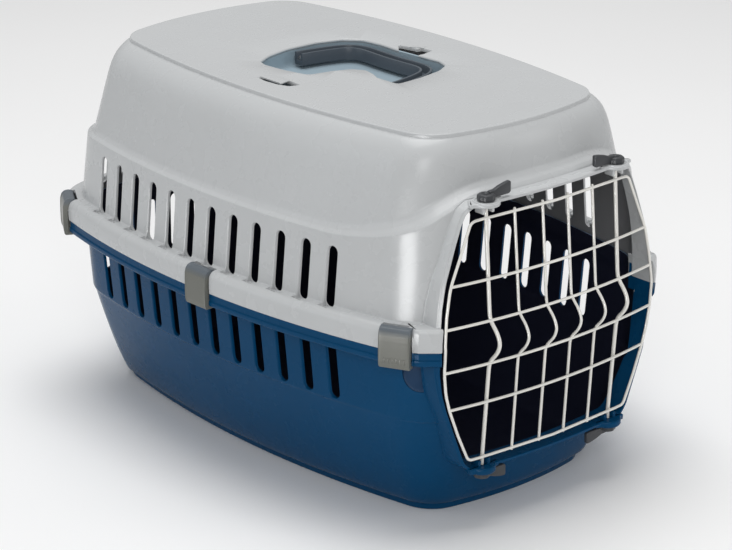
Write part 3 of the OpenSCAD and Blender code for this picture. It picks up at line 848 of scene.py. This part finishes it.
def build_tray():
    w = WALL
    rings, sb = [], []
    centre = (0.0, 1.0)

    def add(r, s=0.0):
        rings.append(r)
        sb.append(s)
    under = ring(4.6, ins(belly(0), 4.4))
    for s in (0.15, 0.5, 0.85):
        add(shrink(under, centre, s))
    add(under, 0.6)
    add(ring(0.0, ins(belly(0), 4)), 0.4)
    add(ring(0.0, ins(belly(0), 0.2)), 0.8)
    add(ring(5.4, ins(belly(0), -1.0)), 0.6)
    add(ring(6.2, ins(belly(0), -3.2)), 0.6)
    for z in (9, 13, 18, 24, 31, 38, 46, 54, 62, 70, 78):
        add(ring(z, belly(z)))
    add(ring(85.6, belly(85.6)), 0.5)
    add(ring(87.8, traywall(88)), 1.2)
    for z in (92, 104, 120):
        add(ring(z, traywall(z)))
    add(ring(144.3, ins(traywall(140), -0.25)), 1.0)
    add(ring(144.3, ins(RIM, 4)), 0.8)
    add(ring(136.2, ins(RIM, 4)), 0.4)
    add(ring(136.1, ins(RIM, 2.6)), 0.7)
    add(ring(137.4, ins(RIM, 1.05)), 1.0)
    add(ring(140.6, ins(RIM, 0.8)), 0.8)
    add(ring(141.5, ins(RIM, 1.7)), 0.4)
    add(ring(PART_Z - 0.25, ins(RIM, 1.6)), 0.5)
    add(ring(PART_Z - 0.25, ins(hoodwall(164), w + 0.35)), 0.2)
    add(ring(157.0, ins(hoodwall(164), w + 0.35)), 0.5)
    add(ring(157.0, ins(hoodwall(164), w + 2.3)), 0.5)
    first_inner = len(rings) - 1
    add(ring(146, ins(hoodwall(164), w + 2.5)), 2)
    add(ring(140, ins(traywall(140), w)), 2)
    add(ring(110, ins(traywall(110), w)))
    add(ring(88.6, ins(traywall(88), w)), 1)
    add(ring(85, ins(belly(85), w)), 1)
    for z in (75, 66, 58, 50, 42, 35, 28, 22):
        add(ring(z, ins(belly(z), w)))
    add(ring(14, ins(belly(14), w)), 3)
    add(ring(8.6, ins(belly(10), 6)), 4)
    flo = ring(8.6, ins(belly(10), 16))
    for s in (1.0, 0.9, 0.7, 0.5, 0.25, 0.1):
        add(shrink(flo, centre, s))
    full = rounded(rings, sb)
    v, f = grid(full, (centre[0], centre[1], 4.6), (centre[0], centre[1], 8.6))
    ob = make("tray_shell", v, f, mat_tray)
    # the tray's inner faces get the painted-shade inside material
    ob.data.materials.append(mat_tray_in_shade)
    for m in (mat_tray_shade, mat_tongue_highlight):
        ob.data.materials.append(m)
    # index 3 paints the tongue's top face with the light blue painted highlight
    paint_rows(ob, lambda a, b: 1 if a >= first_inner else 3 if a == first_inner - 1 else 0, 0, 1, N)
    cut(ob, slot_cutters(traywall, 89.5) + rear_cutters(traywall, 89.5), "c4")
    cut(ob, [tunnel_cutter(0.05)], "c5")
    for sx in (-1, 1):
        # the hollow's cut faces get material 2, the darker blue painted shade
        cut(ob, [end_hollow(sx)], "c6", 2)
    soften(ob, 30)
    return ob


def front_edge(x, z, up):
    """Setback of the collar's front outer edge and of its inner edge from the door's surface."""
    if up:
        k = clamp((abs(x) - 60) / 22)
        return 0.6 + 3.1 * k, 0.3 + 1.6 * k
    k = clamp((abs(x) - 74) / 12)
    q = clamp((z - 96) / 34)
    return 0.3 + k * (0.2 + 4.2 * q), 0.1 + k * 1.8 * q


def collar(name, path, up, mat, inner, level):
    """The lip round the door opening: it slopes back from its inner edge and runs into the wall with a small radius."""
    full = [(-x, z, -a, b) for x, z, a, b in (path[::-1] if up else path)]
    full = full[:-1] + path if up else full[:-1] + path[::-1]
    if not up:
        full = [(-x, z, -a, b) for x, z, a, b in path][:-1] + path[::-1]
    W = 2.5
    secs = []
    for x, z, a, b in full:
        ox, oz = x + W * a, z + W * b
        L = level(oz)
        yw = front_y(L, ox)
        so, si = front_edge(x, z, up)
        yf = door_y(x, z) + si
        yf2 = door_y(ox, oz) + so
        span = max(yw - yf2, 2.5)
        fl = min(1.2, span * 0.4)
        yi = front_y(level(z), x) + 2.6
        pts = [(0.0, yi), (0.0, yf + 1.3), (0.06, yf + 0.6), (0.35, yf + 0.15), (0.75, yf + 0.12), (W - 0.75, yf2 - 0.15), (W - 0.35, yf2 - 0.02), (W - 0.08, yf2 + 0.35), (W, yf2 + 0.9),
               (W, yw - fl), (W + 0.06, yw - fl * 0.45), (W + 0.3, yw - fl * 0.12), (W + 1.1, yw + 0.15), (W + 1.0, yw + 1.4), (W - 0.8, yw + 2.2)]
        secs.append([(x + d * a, y, z + d * b) for d, y in pts])
    v, f = loft_closed(secs)
    return make(name, v, f, mat, 28)


def build_rim_end(up):
    """The block that ends the rim beside the door, with rounded edges."""
    parts = []
    for s in (-1, 1):
        o = [(108.6, -229.1), (122.3, -217.3), (124.2, -214.0), (122.6, -207.5), (119.0, -199.0), (108.6, -201.0)]
        r = [1.3, 1.0, 1.5, 1.0, 1.0, 0.3]
        if s < 0 or True:
            pl = corner_round(o, r, closed=True, n=4)
        cx, cy = 115.5, -214.5
        if up:
            prof = [(147.05, 1.2), (147.3, 0.5), (148.0, 0.0), (155.0, -0.1), (161.2, 0.12), (162.9, 0.5), (163.9, 1.1), (164.45, 1.9), (164.6, 2.8)]
        else:
            prof = [(136.1, 3.2), (136.5, 1.9), (137.4, 0.9), (138.6, 0.45), (140.6, 0.3), (141.3, 0.5), (141.7, 1.1), (146.2, 1.1), (146.75, 1.5)]
        secs = []
        n = len(pl)
        for z, g in prof:
            sec = []
            for i in range(n):
                a, b = pl[i - 1], pl[(i + 1) % n]
                t = (b - a) / max(np.linalg.norm(b - a), 1e-9)
                q = pl[i] + np.array([-t[1], t[0]]) * g * BLK
                if pl[i][0] < 109.4:
                    q[0] = pl[i][0] - (1.3 * clamp((z - 157) / 6) if up else 0.0)
                sec.append((s * q[0], q[1], z))
            secs.append(sec)
        parts.append(loft_closed(secs))
    v, f = join_parts(parts)
    return make("hood_rim_ends" if up else "tray_rim_ends", v, f, mat_hood if up else mat_tray, 40)


BLK = 1.0


def hood_level(z):
    return hoodwall(z)


def tray_level(z):
    return traywall(z) if z > 87 else belly(z)


def boss(sx, top):
    """The round seat of a thumb latch, run into the collar on both sides."""
    cx, cy, R, Rf = sx * 65.5, ROD_Y, 10.4, 7.0
    yl = door_y(65.5, 249 if top else 46)
    k = cy - yl
    dx = math.sqrt((R + Rf) ** 2 - (Rf + k) ** 2)
    out = []
    # right fillet, round the front, left fillet
    fc = (dx, -k - Rf)
    a_end = math.atan2(-fc[1], -fc[0])      # towards the boss
    for i in range(9):
        a = math.pi / 2 + (a_end - math.pi / 2) * i / 8
        out.append((fc[0] + Rf * math.cos(a), fc[1] + Rf * math.sin(a)))
    a0 = math.atan2(fc[1], fc[0])
    for i in range(1, 24):
        a = a0 + (-math.pi - 2 * a0) * i / 24
        out.append((R * math.cos(a), R * math.sin(a)))
    for i in range(9):
        a = math.pi - a_end + (math.pi / 2 - (math.pi - a_end)) * i / 8
        out.append((-fc[0] + Rf * math.cos(a), fc[1] + Rf * math.sin(a)))
    back = 9.0
    out += [(-dx, -k + 2), (-R * 0.9, back), (R * 0.9, back), (dx, -k + 2)]
    z0, z1 = (248.0, 251.1) if top else (43.6, 48.2)
    prof = [(z0, -0.9), (z0 + 0.25, -0.35), (z0 + 0.9, 0.0), (z1 - 0.9, 0.0), (z1 - 0.25, -0.35), (z1, -0.9), (z1, -1.9)]
    secs = []
    n = len(out)
    for z, g in prof:
        sec = []
        for i, (x, y) in enumerate(out):
            a, b = out[i - 1], out[(i + 1) % n]
            t = np.array([b[0] - a[0], b[1] - a[1]])
            t = t / np.linalg.norm(t)
            nx, ny = -t[1], t[0]
            sec.append((cx + x + nx * g, cy + y + ny * g, z))
        secs.append(sec)
    return loft_closed(secs)


def build_bosses(top):
    parts = []
    for s in (-1, 1):
        parts.append(boss(s, top))
        c = (s * 65.5, ROD_Y, 251.1 if top else 43.6)
        d = 1 if top else -1
        parts.append(turned([(0.01, -1.5 * d), (5.6, -1.5 * d), (5.6, 0.2 * d), (5.0, 0.9 * d), (4.9, 3.0 * d), (4.5, 3.3 * d), (0.01, 3.3 * d)], c, 32))
        ring_o = [(8.0, 0.0), (8.15, 0.45), (8.6, 0.62), (9.1, 0.62), (9.5, 0.4), (9.65, 0.0), (9.5, -0.5), (8.1, -0.5)]
        bead = [[(c[0] + r * math.cos(2 * math.pi * q / 48), c[1] + r * math.sin(2 * math.pi * q / 48), c[2] + d * (h - 0.02)) for r, h in ring_o] for q in range(48)]
        bv = [p for sec in bead for p in sec]
        m8 = len(ring_o)
        bf = [(q * m8 + e, q * m8 + (e + 1) % m8, ((q + 1) % 48) * m8 + (e + 1) % m8, ((q + 1) % 48) * m8 + e) for q in range(48) for e in range(m8)]
        parts.append((bv, bf))
        # fork under the seat that holds the rod's end
        for k in (-1, 1):
            z0, z1 = (242.4, 248.6) if top else (47.6, 52.6)
            x0 = s * 65.5 + k * 4.6
            o = corner_round([(-1.1, -3.2), (1.1, -3.2), (1.1, 5.5), (-1.1, 5.5)], 0.6, closed=True, n=3)
            lo, hi = (z0, z1)
            secs = []
            for z, g in ((lo, -0.3), (lo + 0.4, 0), (hi, 0)) if top else ((lo, 0), (hi - 0.4, 0), (hi, -0.3)):
                secs.append([(x0 + p[0] * (1 + g / 1.1), ROD_Y + p[1] * (1 + g / 4), z) for p in o])
            parts.append(loft_closed(secs))
    v, f = join_parts(parts)
    return make("hood_seats" if top else "tray_seats", v, f, mat_hood if top else mat_tray, 40)


def build_tub():
    """Hollow in the top panel that the handle lies in."""
    z0 = 277.5
    prof = [(291.4, 0.02), (290.0, 0.02), (281.5, -0.15), (279.0, -0.6), (278.0, -1.4), (277.55, -2.6), (277.5, -4.0)]
    inner = [np.array([(x, y, z) for x, y in well_outline(g)]) for z, g in prof]
    c = np.array([20.0, 4.0])
    outer = [np.array([(x, y, z) for x, y in well_outline(g)]) for z, g in ((275.0, -3.0), (275.2, 1.0), (277.0, 2.2), (286.0, 2.3), (291.4, 2.3))]
    n = len(inner[0])
    rings = [outer[4], inner[0], *inner[1:]]
    verts = [tuple(p) for r in rings for p in r]
    faces = []
    for k in range(len(rings) - 1):
        for j in range(n):
            j2 = (j + 1) % n
            faces.append((k * n + j, k * n + j2, (k + 1) * n + j2, (k + 1) * n + j))
    faces.append(tuple(range((len(rings) - 1) * n, len(rings) * n)))
    o = len(verts)
    for r in outer[:4]:
        verts += [tuple(p) for p in r]
    seq = [o + k * n for k in range(4)] + [0]
    for k in range(4):
        for j in range(n):
            j2 = (j + 1) % n
            faces.append((seq[k] + j, seq[k] + j2, seq[k + 1] + j2, seq[k + 1] + j))
    faces.append(tuple(range(o, o + n))[::-1])
    # the hollow gets the darker, bluer painted-shade material
    ob = make("hood_hollow", verts, faces, mat_hollow_shade, 40)
    return ob


def build_flaps():
    """The tongues over the strap slots: a raised lip on one side, a low bridge on the other."""
    parts = []
    secs = []
    for i in range(11):
        t = i / 10
        x = -66.5 - 13.6 * t
        zt = min(TOP_Z + 0.05 + 0.95 * math.sin(math.pi / 2 * min(1, t * 1.25)), TOP_Z + 1.0)
        zb = zt - (1.0 if t > 0.18 else 1.8)
        w0, w1 = -12.0 - 4.6 * t + 0.5 * (t > 0.95), 7.0 + 1.6 * t - 0.5 * (t > 0.95)
        secs.append([(x, w0, zb), (x, w1, zb), (x, w1, zt - 0.3), (x, w1 - 0.35, zt), (x, w0 + 0.35, zt), (x, w0, zt - 0.3)])
    parts.append(loft_closed(secs))
    secs = []
    for i in range(9):
        t = i / 8
        x, y = 62.3 + 6.2 * t, -2.5 - 10.0 * t
        h = 0.85 * math.sin(math.pi * (0.12 + 0.76 * t))
        secs.append([(x - 1.0, y - 1.0, TOP_Z - 1.2), (x + 4.5, y + 2.0, TOP_Z - 1.2), (x + 4.5, y + 2.0, TOP_Z + 0.02), (x + 1.8, y + 0.8, TOP_Z + 0.05 + 0.6 * h), (x - 0.4, y - 0.5, TOP_Z + 0.05 + h), (x - 1.0, y - 1.0, TOP_Z - 0.1 + h)])
    parts.append(loft_closed(secs))
    v, f = join_parts(parts)
    return make("strap_flaps", v, f, mat_hood, 35)


# ------------------------------------------------------------------ door
FH = [(0, 238.6), (71, 238.6), (79.6, 238.0), (84.0, 228), (90, 214), (99.4, 193), (103.6, 172), (105.8, 152), (105.7, 130), (103.4, 113),
      (99.6, 99.9), (91, 78), (80.6, 55.5), (71, 55.5), (0, 55.5)]
FR = [0, 10, 7, 40, 60, 60, 60, 60, 60, 60, 60, 60, 6, 10, 0]
BARS = [(193.8, 98.6), (162.9, 104.3), (130.3, 105.2), (99.9, 99.2)]
UPR = [-39.3, -12.7, 12.7, 39.3]
WIRE_R, ROD_R, ROD_X, BOW = 1.1, 1.5, 65.5, 10.0


def up_pts(x, b, r):
    o = WIRE_R + r - 0.15
    z2, z3 = BARS[1][0] - 1, BARS[2][0] + 1
    pts = [(x, door_y(x, 238.6) + o, 240.3)]
    pts.append((x, door_y(x, z2) + o, z2 + 2))
    n = 16
    for i in range(1, n):
        t = i / n
        z = z2 + (z3 - z2) * t
        pts.append((x, door_y(x, z) + o - (b - 0.2) * math.sin(math.pi * t) ** 0.8, z))
    pts.append((x, door_y(x, z3) + o, z3 - 2))
    pts.append((x, door_y(x, 55.5) + o, 53.8))
    return pts


def densify(p, step=1.6):
    out = [np.array(p[0], float)]
    for a, b in zip(p[:-1], p[1:]):
        a, b = np.array(a, float), np.array(b, float)
        k = max(1, int(math.ceil(np.linalg.norm(b - a) / step)))
        for i in range(1, k + 1):
            out.append(a + (b - a) * i / k)
    return out


def relax(p, rounds=6):
    p = [np.array(q, float) for q in p]
    for _ in range(rounds):
        q = [p[0]] + [0.25 * p[i - 1] + 0.5 * p[i] + 0.25 * p[i + 1] for i in range(1, len(p) - 1)] + [p[-1]]
        p = q
    return p


def weld(x, y, z, r=1.25):
    """The small squeezed bead of a spot weld between two crossing wires."""
    rings = []
    for k in range(1, 8):
        a = math.pi * k / 8
        rings.append([(x + 1.25 * r * math.sin(a) * math.cos(b), y + 1.05 * r * math.cos(a), z + 1.25 * r * math.sin(a) * math.sin(b))
                      for b in [2 * math.pi * i / 12 for i in range(12)]])
    return loft_closed(rings)


def build_door():
    made = []
    half = corner_round(FH, FR, n=6)
    loop = [(p[0], p[1]) for p in half] + [(-p[0], p[1]) for p in half[::-1][1:-1]]
    pts = densify([(x, door_y(x, z), z) for x, z in loop + [loop[0]]], 2.2)[:-1]
    v, f = tube(pts, WIRE_R, 14, closed=True)
    ob = make("door_loop", v, f, mat_wire, 60)
    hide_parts("door_frame")
    made.append(ob)
    for i, (z, h) in enumerate(BARS):
        path = [(h * t, door_y(h * t, z), z) for t in np.linspace(-1, 1, 61)]
        parts = [tube(path, WIRE_R, 14, up=(0, 0, 1))]
        for x in UPR:
            parts.append(weld(x, door_y(x, z) + WIRE_R, z, 0.95))
        for x in (-ROD_X, ROD_X):
            parts.append(weld(x, door_y(x, z) + WIRE_R + 0.1, z, 1.05))
        ob = make("door_wire_h%d" % (i + 1), *join_parts(parts), mat_wire, 60)
        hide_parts("door_bar_%d" % (i + 1))
        made.append(ob)
    for i, x in enumerate(UPR):
        path = relax(densify(up_pts(x, BOW, WIRE_R)), 3)
        parts = [tube(path, WIRE_R, 14)]
        for z in (238.6, 55.5):
            parts.append(weld(x, door_y(x, z) + WIRE_R, z, 0.95))
        ob = make("door_wire_v%d" % (i + 1), *join_parts(parts), mat_wire, 60)
        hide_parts("door_upright_%d" % (i + 1))
        made.append(ob)
    for nm, x in (("left", -ROD_X), ("right", ROD_X)):
        p = up_pts(x, BOW, ROD_R)
        path = relax(densify([(x, ROD_Y, 250.6), (x, ROD_Y, 243.0)] + p[1:-1] + [(x, ROD_Y, 52.0), (x, ROD_Y, 44.6)]), 8)
        parts = [tube(path, ROD_R, 18)]
        for z in (238.6, 55.5):
            parts.append(weld(x, door_y(x, z) + WIRE_R, z, 1.05))
        ob = make("door_rod_%s_wire" % nm, *join_parts(parts), mat_wire, 60)
        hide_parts("door_rod_" + nm)
        made.append(ob)
    for ob in made:
        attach(ob, "door")
    return made


# ------------------------------------------------------------------ latches
def build_latch(name, sx, top):
    """A thumb latch: ribbed round knob with an upright wing that rises towards its tip."""
    n = 64
    d = 1 if top else -1
    parts = []
    base_z = 251.1 if top else 43.6
    def lobe(i):
        return 1 + 0.035 * math.cos(8 * 2 * math.pi * i / n)
    prof = [(4.9, 0.4, 0), (6.2, 0.4, 0), (6.6, 0.8, 1), (6.6, 3.6, 1), (6.3, 4.5, 1), (5.5, 5.1, 0.6), (4.2, 5.4, 0.2), (3.3, 5.4, 0), (2.9, 5.0, 0), (2.5, 5.0, 0), (2.2, 5.6, 0), (1.4, 6.2, 0), (0.3, 6.35, 0)]
    rings = []
    for r, h, k in prof:
        rings.append([(r * (1 + (lobe(i) - 1) * k - 0.03 * k) * math.cos(2 * math.pi * i / n), r * (1 + (lobe(i) - 1) * k - 0.03 * k) * math.sin(2 * math.pi * i / n), h) for i in range(n)])
    # inside of the cap over the neck
    inner = [[(r * math.cos(2 * math.pi * i / n), r * math.sin(2 * math.pi * i / n), h) for i in range(n)] for r, h in ((0.6, 3.8), (4.7, 3.8), (5.08, 3.5), (5.08, 0.5))]
    parts.append(loft_closed(inner + rings))
    # wing
    o = [(2.0, 1.0), (21.2, 1.0), (23.0, 2.2), (23.0, 9.6), (22.0, 10.5), (17.5, 9.9), (12.0, 8.6), (7.5, 6.9), (2.0, 6.6)]
    o = [tuple(q) for q in corner_round(o, 1.2, closed=True, n=3)]
    cx, cz = 12.0, 5.2
    secs = []
    for y, g in ((-1.75, 0.75), (-1.6, 0.35), (-1.2, 0.08), (-0.6, 0.0), (0.6, 0.0), (1.2, 0.08), (1.6, 0.35), (1.75, 0.75)):
        sec = []
        m = len(o)
        for i, (x, z) in enumerate(o):
            a, b = o[i - 1], o[(i + 1) % m]
            t = np.array([b[0] - a[0], b[1] - a[1]])
            t = t / max(np.linalg.norm(t), 1e-9)
            sec.append((x - t[1] * g, y, z + t[0] * g))
        secs.append(sec)
    parts.append(loft_closed(secs))
    out = []
    for v, f in parts:
        # the wings point inwards, to the middle of the door
        out.append(([(sx * 65.5 - sx * x, ROD_Y + y, base_z + d * z) for x, y, z in v], f))
    ob = make(name + "_knob", *join_parts(out), mat_latch, 35)
    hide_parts(name)
    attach(ob, name)
    return ob


# ------------------------------------------------------------------ rim clips
def build_clip(i, right, name):
    """A snap clip bent over the rim: curled top in its notch, bowed face, hook under the tray's rim, and on the front
    clips a row of grip ribs.
    """
    o = [(-0.5, 134.4), (-5.2, 134.4), (-5.2, 135.3), (-0.5, 135.7), (-0.5, 155.6), (-3.6, 156.9), (-6.6, 157.6), (-8.3, 160.0), (-8.2, 162.4), (-6.6, 164.5),
         (-3.6, 164.9), (-0.8, 164.3), (1.2, 162.2), (2.1, 159.0), (2.3, 155.0), (2.35, 150.0), (2.3, 144.0), (2.2, 139.0), (1.7, 135.6), (0.9, 134.4)]
    r = [0.6, 0.3, 0.3, 0.4, 1, 1, 1.5, 2, 2, 2, 2.5, 2.5, 3, 4, 6, 8, 8, 4, 1.2, 0.8]
    prof = corner_round(o, r, closed=True, n=3)
    m = len(prof)
    w = CLIP_W / 2
    secs = []
    for y, g in ((-w, 0.9), (-w + 0.25, 0.35), (-w + 0.7, 0.06), (-w + 1.4, 0.0), (-w + 4, 0), (0, 0), (w - 4, 0), (w - 1.4, 0.0), (w - 0.7, 0.06), (w - 0.25, 0.35), (w, 0.9)):
        sec = []
        for k in range(m):
            a, b = prof[k - 1], prof[(k + 1) % m]
            t = (b - a) / max(np.linalg.norm(b - a), 1e-9)
            gg = min(g, 0.45)
            # the corners of the lower edge are rounded off
            p = prof[k] + np.array([t[1], -t[0]]) * (-gg) * CL_OR
            z = p[1]
            if z < 139.0 and g > 0:
                z = z + g * 1.3 * (139.0 - z) / 5.0
            sec.append((p[0], y, z))
        secs.append(on_rim(i, right, sec))
    parts = [loft_closed(secs)]
    # grip ribs near the lower edge, plain dashes
    for k in range(6 if i == 0 else 0):
        yc = (k - 2.5) * 3.0
        rib = []
        for z, h in ((138.4, 0.0), (138.8, 0.32), (139.8, 0.45), (141.2, 0.45), (142.2, 0.32), (142.6, 0.0)):
            rib.append(on_rim(i, right, [(1.7, yc - 0.85, z), (2.25 + h * 0.6, yc - 0.75, z), (2.3 + h, yc - 0.3, z), (2.3 + h, yc + 0.3, z), (2.25 + h * 0.6, yc + 0.75, z), (1.7, yc + 0.85, z)]))
        parts.append(loft_closed(rib))
    pin = []
    for k in (-1, 1):
        secs = []
        for y, r in ((w - 1.0, 1.2), (w + 0.45, 1.2), (w + 0.58, 1.05)):
            secs.append(on_rim(i, right, [(-4.6 + r * math.cos(2 * math.pi * q / 20), k * y, 160.8 + r * math.sin(2 * math.pi * q / 20)) for q in range(20)]))
        pin.append(loft_closed(secs))
    po = make(name.replace("clip_", "clip_stub_"), *join_parts(pin), mat_pin, 35)
    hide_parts(name.replace("clip_", "clip_pin_"))
    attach(po, "shell")
    ob = make(name + "_plate", *join_parts(parts), mat_clip_with_shade, 35)
    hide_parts(name)
    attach(ob, name)
    return ob


CL_OR = 1.0


# ------------------------------------------------------------------ handle
HP = [(-7.6, 56.4), (0, 55.8), (18, 52), (31, 48), (38.5, 41.5), (41, 31), (40, 16), (39.4, 0)]


def build_handle():
    """A U-shaped bail of channel section, open on top, its ends on the two pivots."""
    path = [np.array(p, float) for p in HP] + [np.array((x, -y), float) for x, y in HP[::-1][1:]]
    path = relax(densify([(x, y, 0) for x, y in path], 1.5), 14)
    path = [p[:2] for p in path]
    z0, z1, zf = 280.0, 290.0, 283.6
    sec0 = [(-5.0, z0 + 0.5), (-4.5, z0), (4.5, z0), (5.0, z0 + 0.5), (5.0, z1 - 0.5), (4.75, z1 - 0.12), (4.3, z1), (3.5, z1), (3.05, z1 - 0.12), (2.85, z1 - 0.5),
            (2.75, zf + 0.8), (2.4, zf + 0.15), (1.9, zf), (-1.9, zf), (-2.4, zf + 0.15), (-2.75, zf + 0.8), (-2.85, z1 - 0.5), (-3.05, z1 - 0.12), (-3.5, z1), (-4.3, z1), (-4.75, z1 - 0.12), (-5.0, z1 - 0.5)]
    secs = []
    K = len(path)
    for k, p in enumerate(path):
        a, b = path[max(k - 1, 0)], path[min(k + 1, K - 1)]
        t = (b - a) / np.linalg.norm(b - a)
        nrm = np.array([-t[1], t[0]])
        sec = []
        for d, z in sec0:
            q = p + nrm * d
            sec.append((q[0], q[1] - 7.0, z))
        secs.append(sec)
    parts = [loft_closed(secs)]
    ob = make("handle_bail", *join_parts(parts), mat_handle, 35)
    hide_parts("handle")
    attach(ob, "handle")
    return ob


# ------------------------------------------------------------------ assemble
hood = build_hood()
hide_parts("hood")
tray = build_tray()
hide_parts("base_tray")
shell_pieces = [(hood, "hood"), (tray, "tray")]
shell_pieces.append((collar("hood_collar", UPN, True, mat_hood, mat_hood_in_shade, hood_level), "hood"))
shell_pieces.append((collar("tray_collar", DNN, False, mat_tray, mat_tray_in_shade, tray_level), "tray"))
shell_pieces.append((build_bosses(True), "hood"))
shell_pieces.append((build_bosses(False), "tray"))
shell_pieces.append((build_rim_end(True), "hood"))
shell_pieces.append((build_rim_end(False), "tray"))
shell_pieces.append((build_tub(), "hood"))
shell_pieces.append((build_flaps(), "hood"))
for ob, slot in shell_pieces:
    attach(ob, "shell")
build_door()
for nm, sx, top in (("latch_top_left", -1, True), ("latch_top_right", 1, True), ("latch_bottom_left", -1, False), ("latch_bottom_right", 1, False)):
    build_latch(nm, sx, top)
for i, nm in enumerate(("front", "mid", "rear")):
    for right, side in ((True, "right"), (False, "left")):
        build_clip(i, right, "clip_%s_%s" % (nm, side))
build_handle()
for n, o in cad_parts.items():
    if not o.hide_render:
        o.data.materials.clear()
        o.data.materials.append(mat_pin)


# ------------------------------------------------------------------ floor, light, camera
def floor_material():
    m = bpy.data.materials.new("floor_pale")
    m.use_nodes = True
    nt = m.node_tree
    bs = nt.nodes["Principled BSDF"]
    co = nt.nodes.new("ShaderNodeTexCoord")
    nz = nt.nodes.new("ShaderNodeTexNoise")
    nz.inputs["Scale"].default_value = 3.0
    nt.links.new(co.outputs["Object"], nz.inputs["Vector"])
    ramp = nt.nodes.new("ShaderNodeValToRGB")
    ramp.color_ramp.elements[0].color = (0.95, 0.95, 0.95, 1)
    ramp.color_ramp.elements[1].color = (0.975, 0.975, 0.975, 1)
    nt.links.new(nz.outputs["Fac"], ramp.inputs["Fac"])
    nt.links.new(ramp.outputs["Color"], bs.inputs["Base Color"])
    bs.inputs["Roughness"].default_value = 0.9
    bs.inputs["Specular IOR Level"].default_value = 0.0
    bs.inputs["IOR"].default_value = 1.0
    return m


def build_floor():
    n = 24
    verts, faces = [], []
    R = 6000.0
    for j in range(n + 1):
        for i in range(n + 1):
            verts.append((-R + 2 * R * i / n, -R + 2 * R * j / n, -0.15))
    for j in range(n):
        for i in range(n):
            a = j * (n + 1) + i
            faces.append((a, a + 1, a + n + 2, a + n + 1))
    ob = make("floor", verts, faces, floor_material(), recalc=False)


build_floor()
world = bpy.data.worlds.new("studio")
scene.world = world
world.use_nodes = True
bg = world.node_tree.nodes["Background"]
bg.inputs["Color"].default_value = (1.0, 1.0, 1.0, 1)
bg.inputs["Strength"].default_value = 0.36


def area(name, loc, target, size, power, colour=(1, 1, 1)):
    d = bpy.data.lights.new(name, "AREA")
    d.shape = "RECTANGLE"
    d.size, d.size_y = size
    d.energy = power
    d.color = colour
    o = bpy.data.objects.new(name, d)
    scene.collection.objects.link(o)
    o.location = loc
    o.rotation_mode = "QUATERNION"
    o.rotation_quaternion = (Vector(target) - Vector(loc)).to_track_quat("-Z", "Y")
    return o


area("soft_top", (0.1, 0.2, 2.4), (0, 0, 0.2), (1.6, 1.6), 34)
area("soft_key", (-1.75, -2.0, 1.5), (-0.05, -0.05, 0.15), (1.0, 1.0), 17)
area("soft_left", (-2.3, 1.2, 1.0), (0, 0, 0.12), (1.2, 1.2), 4, (0.86, 0.94, 1.0))
area("soft_right", (1.6, -1.9, 0.9), (0.05, -0.1, 0.15), (0.6, 1.0), 4)
glint = area("corner_strip", (-0.60, -0.40, 0.10), (-0.115, -0.205, 0.20), (0.27, 0.30), 3.0)
glint.visible_camera = False
glint.visible_diffuse = False

scene.view_settings.view_transform = "Standard"
scene.view_settings.look = "None"

cam_d = bpy.data.cameras.new("camera")
cam = bpy.data.objects.new("camera", cam_d)
scene.collection.objects.link(cam)
scene.camera = cam
f_px, cx, cy = 2850.3, 360.87, 250.60
cam_d.sensor_width = 36.0
cam_d.lens = f_px / 732 * 36.0
cam_d.shift_x = (366 - cx) / 732
cam_d.shift_y = (cy - 275) / 732
cam_d.clip_start, cam_d.clip_end = 0.05, 50
az, el, roll = math.radians(-41.211), math.radians(19.801), math.radians(0.028)
back = Vector((math.sin(az) * math.cos(el), -math.cos(az) * math.cos(el), math.sin(el)))
right = Vector((0, 0, 1)).cross(back).normalized()
upv = back.cross(right)
r2 = right * math.cos(roll) + upv * math.sin(roll)
u2 = -right * math.sin(roll) + upv * math.cos(roll)
mat = Matrix(((r2.x, u2.x, back.x), (r2.y, u2.y, back.y), (r2.z, u2.z, back.z)))
cam.rotation_mode = "QUATERNION"
cam.rotation_quaternion = mat.to_quaternion()
cam.location = (-1.3866, (-1599.1 + SY) * MM, 0.8992)
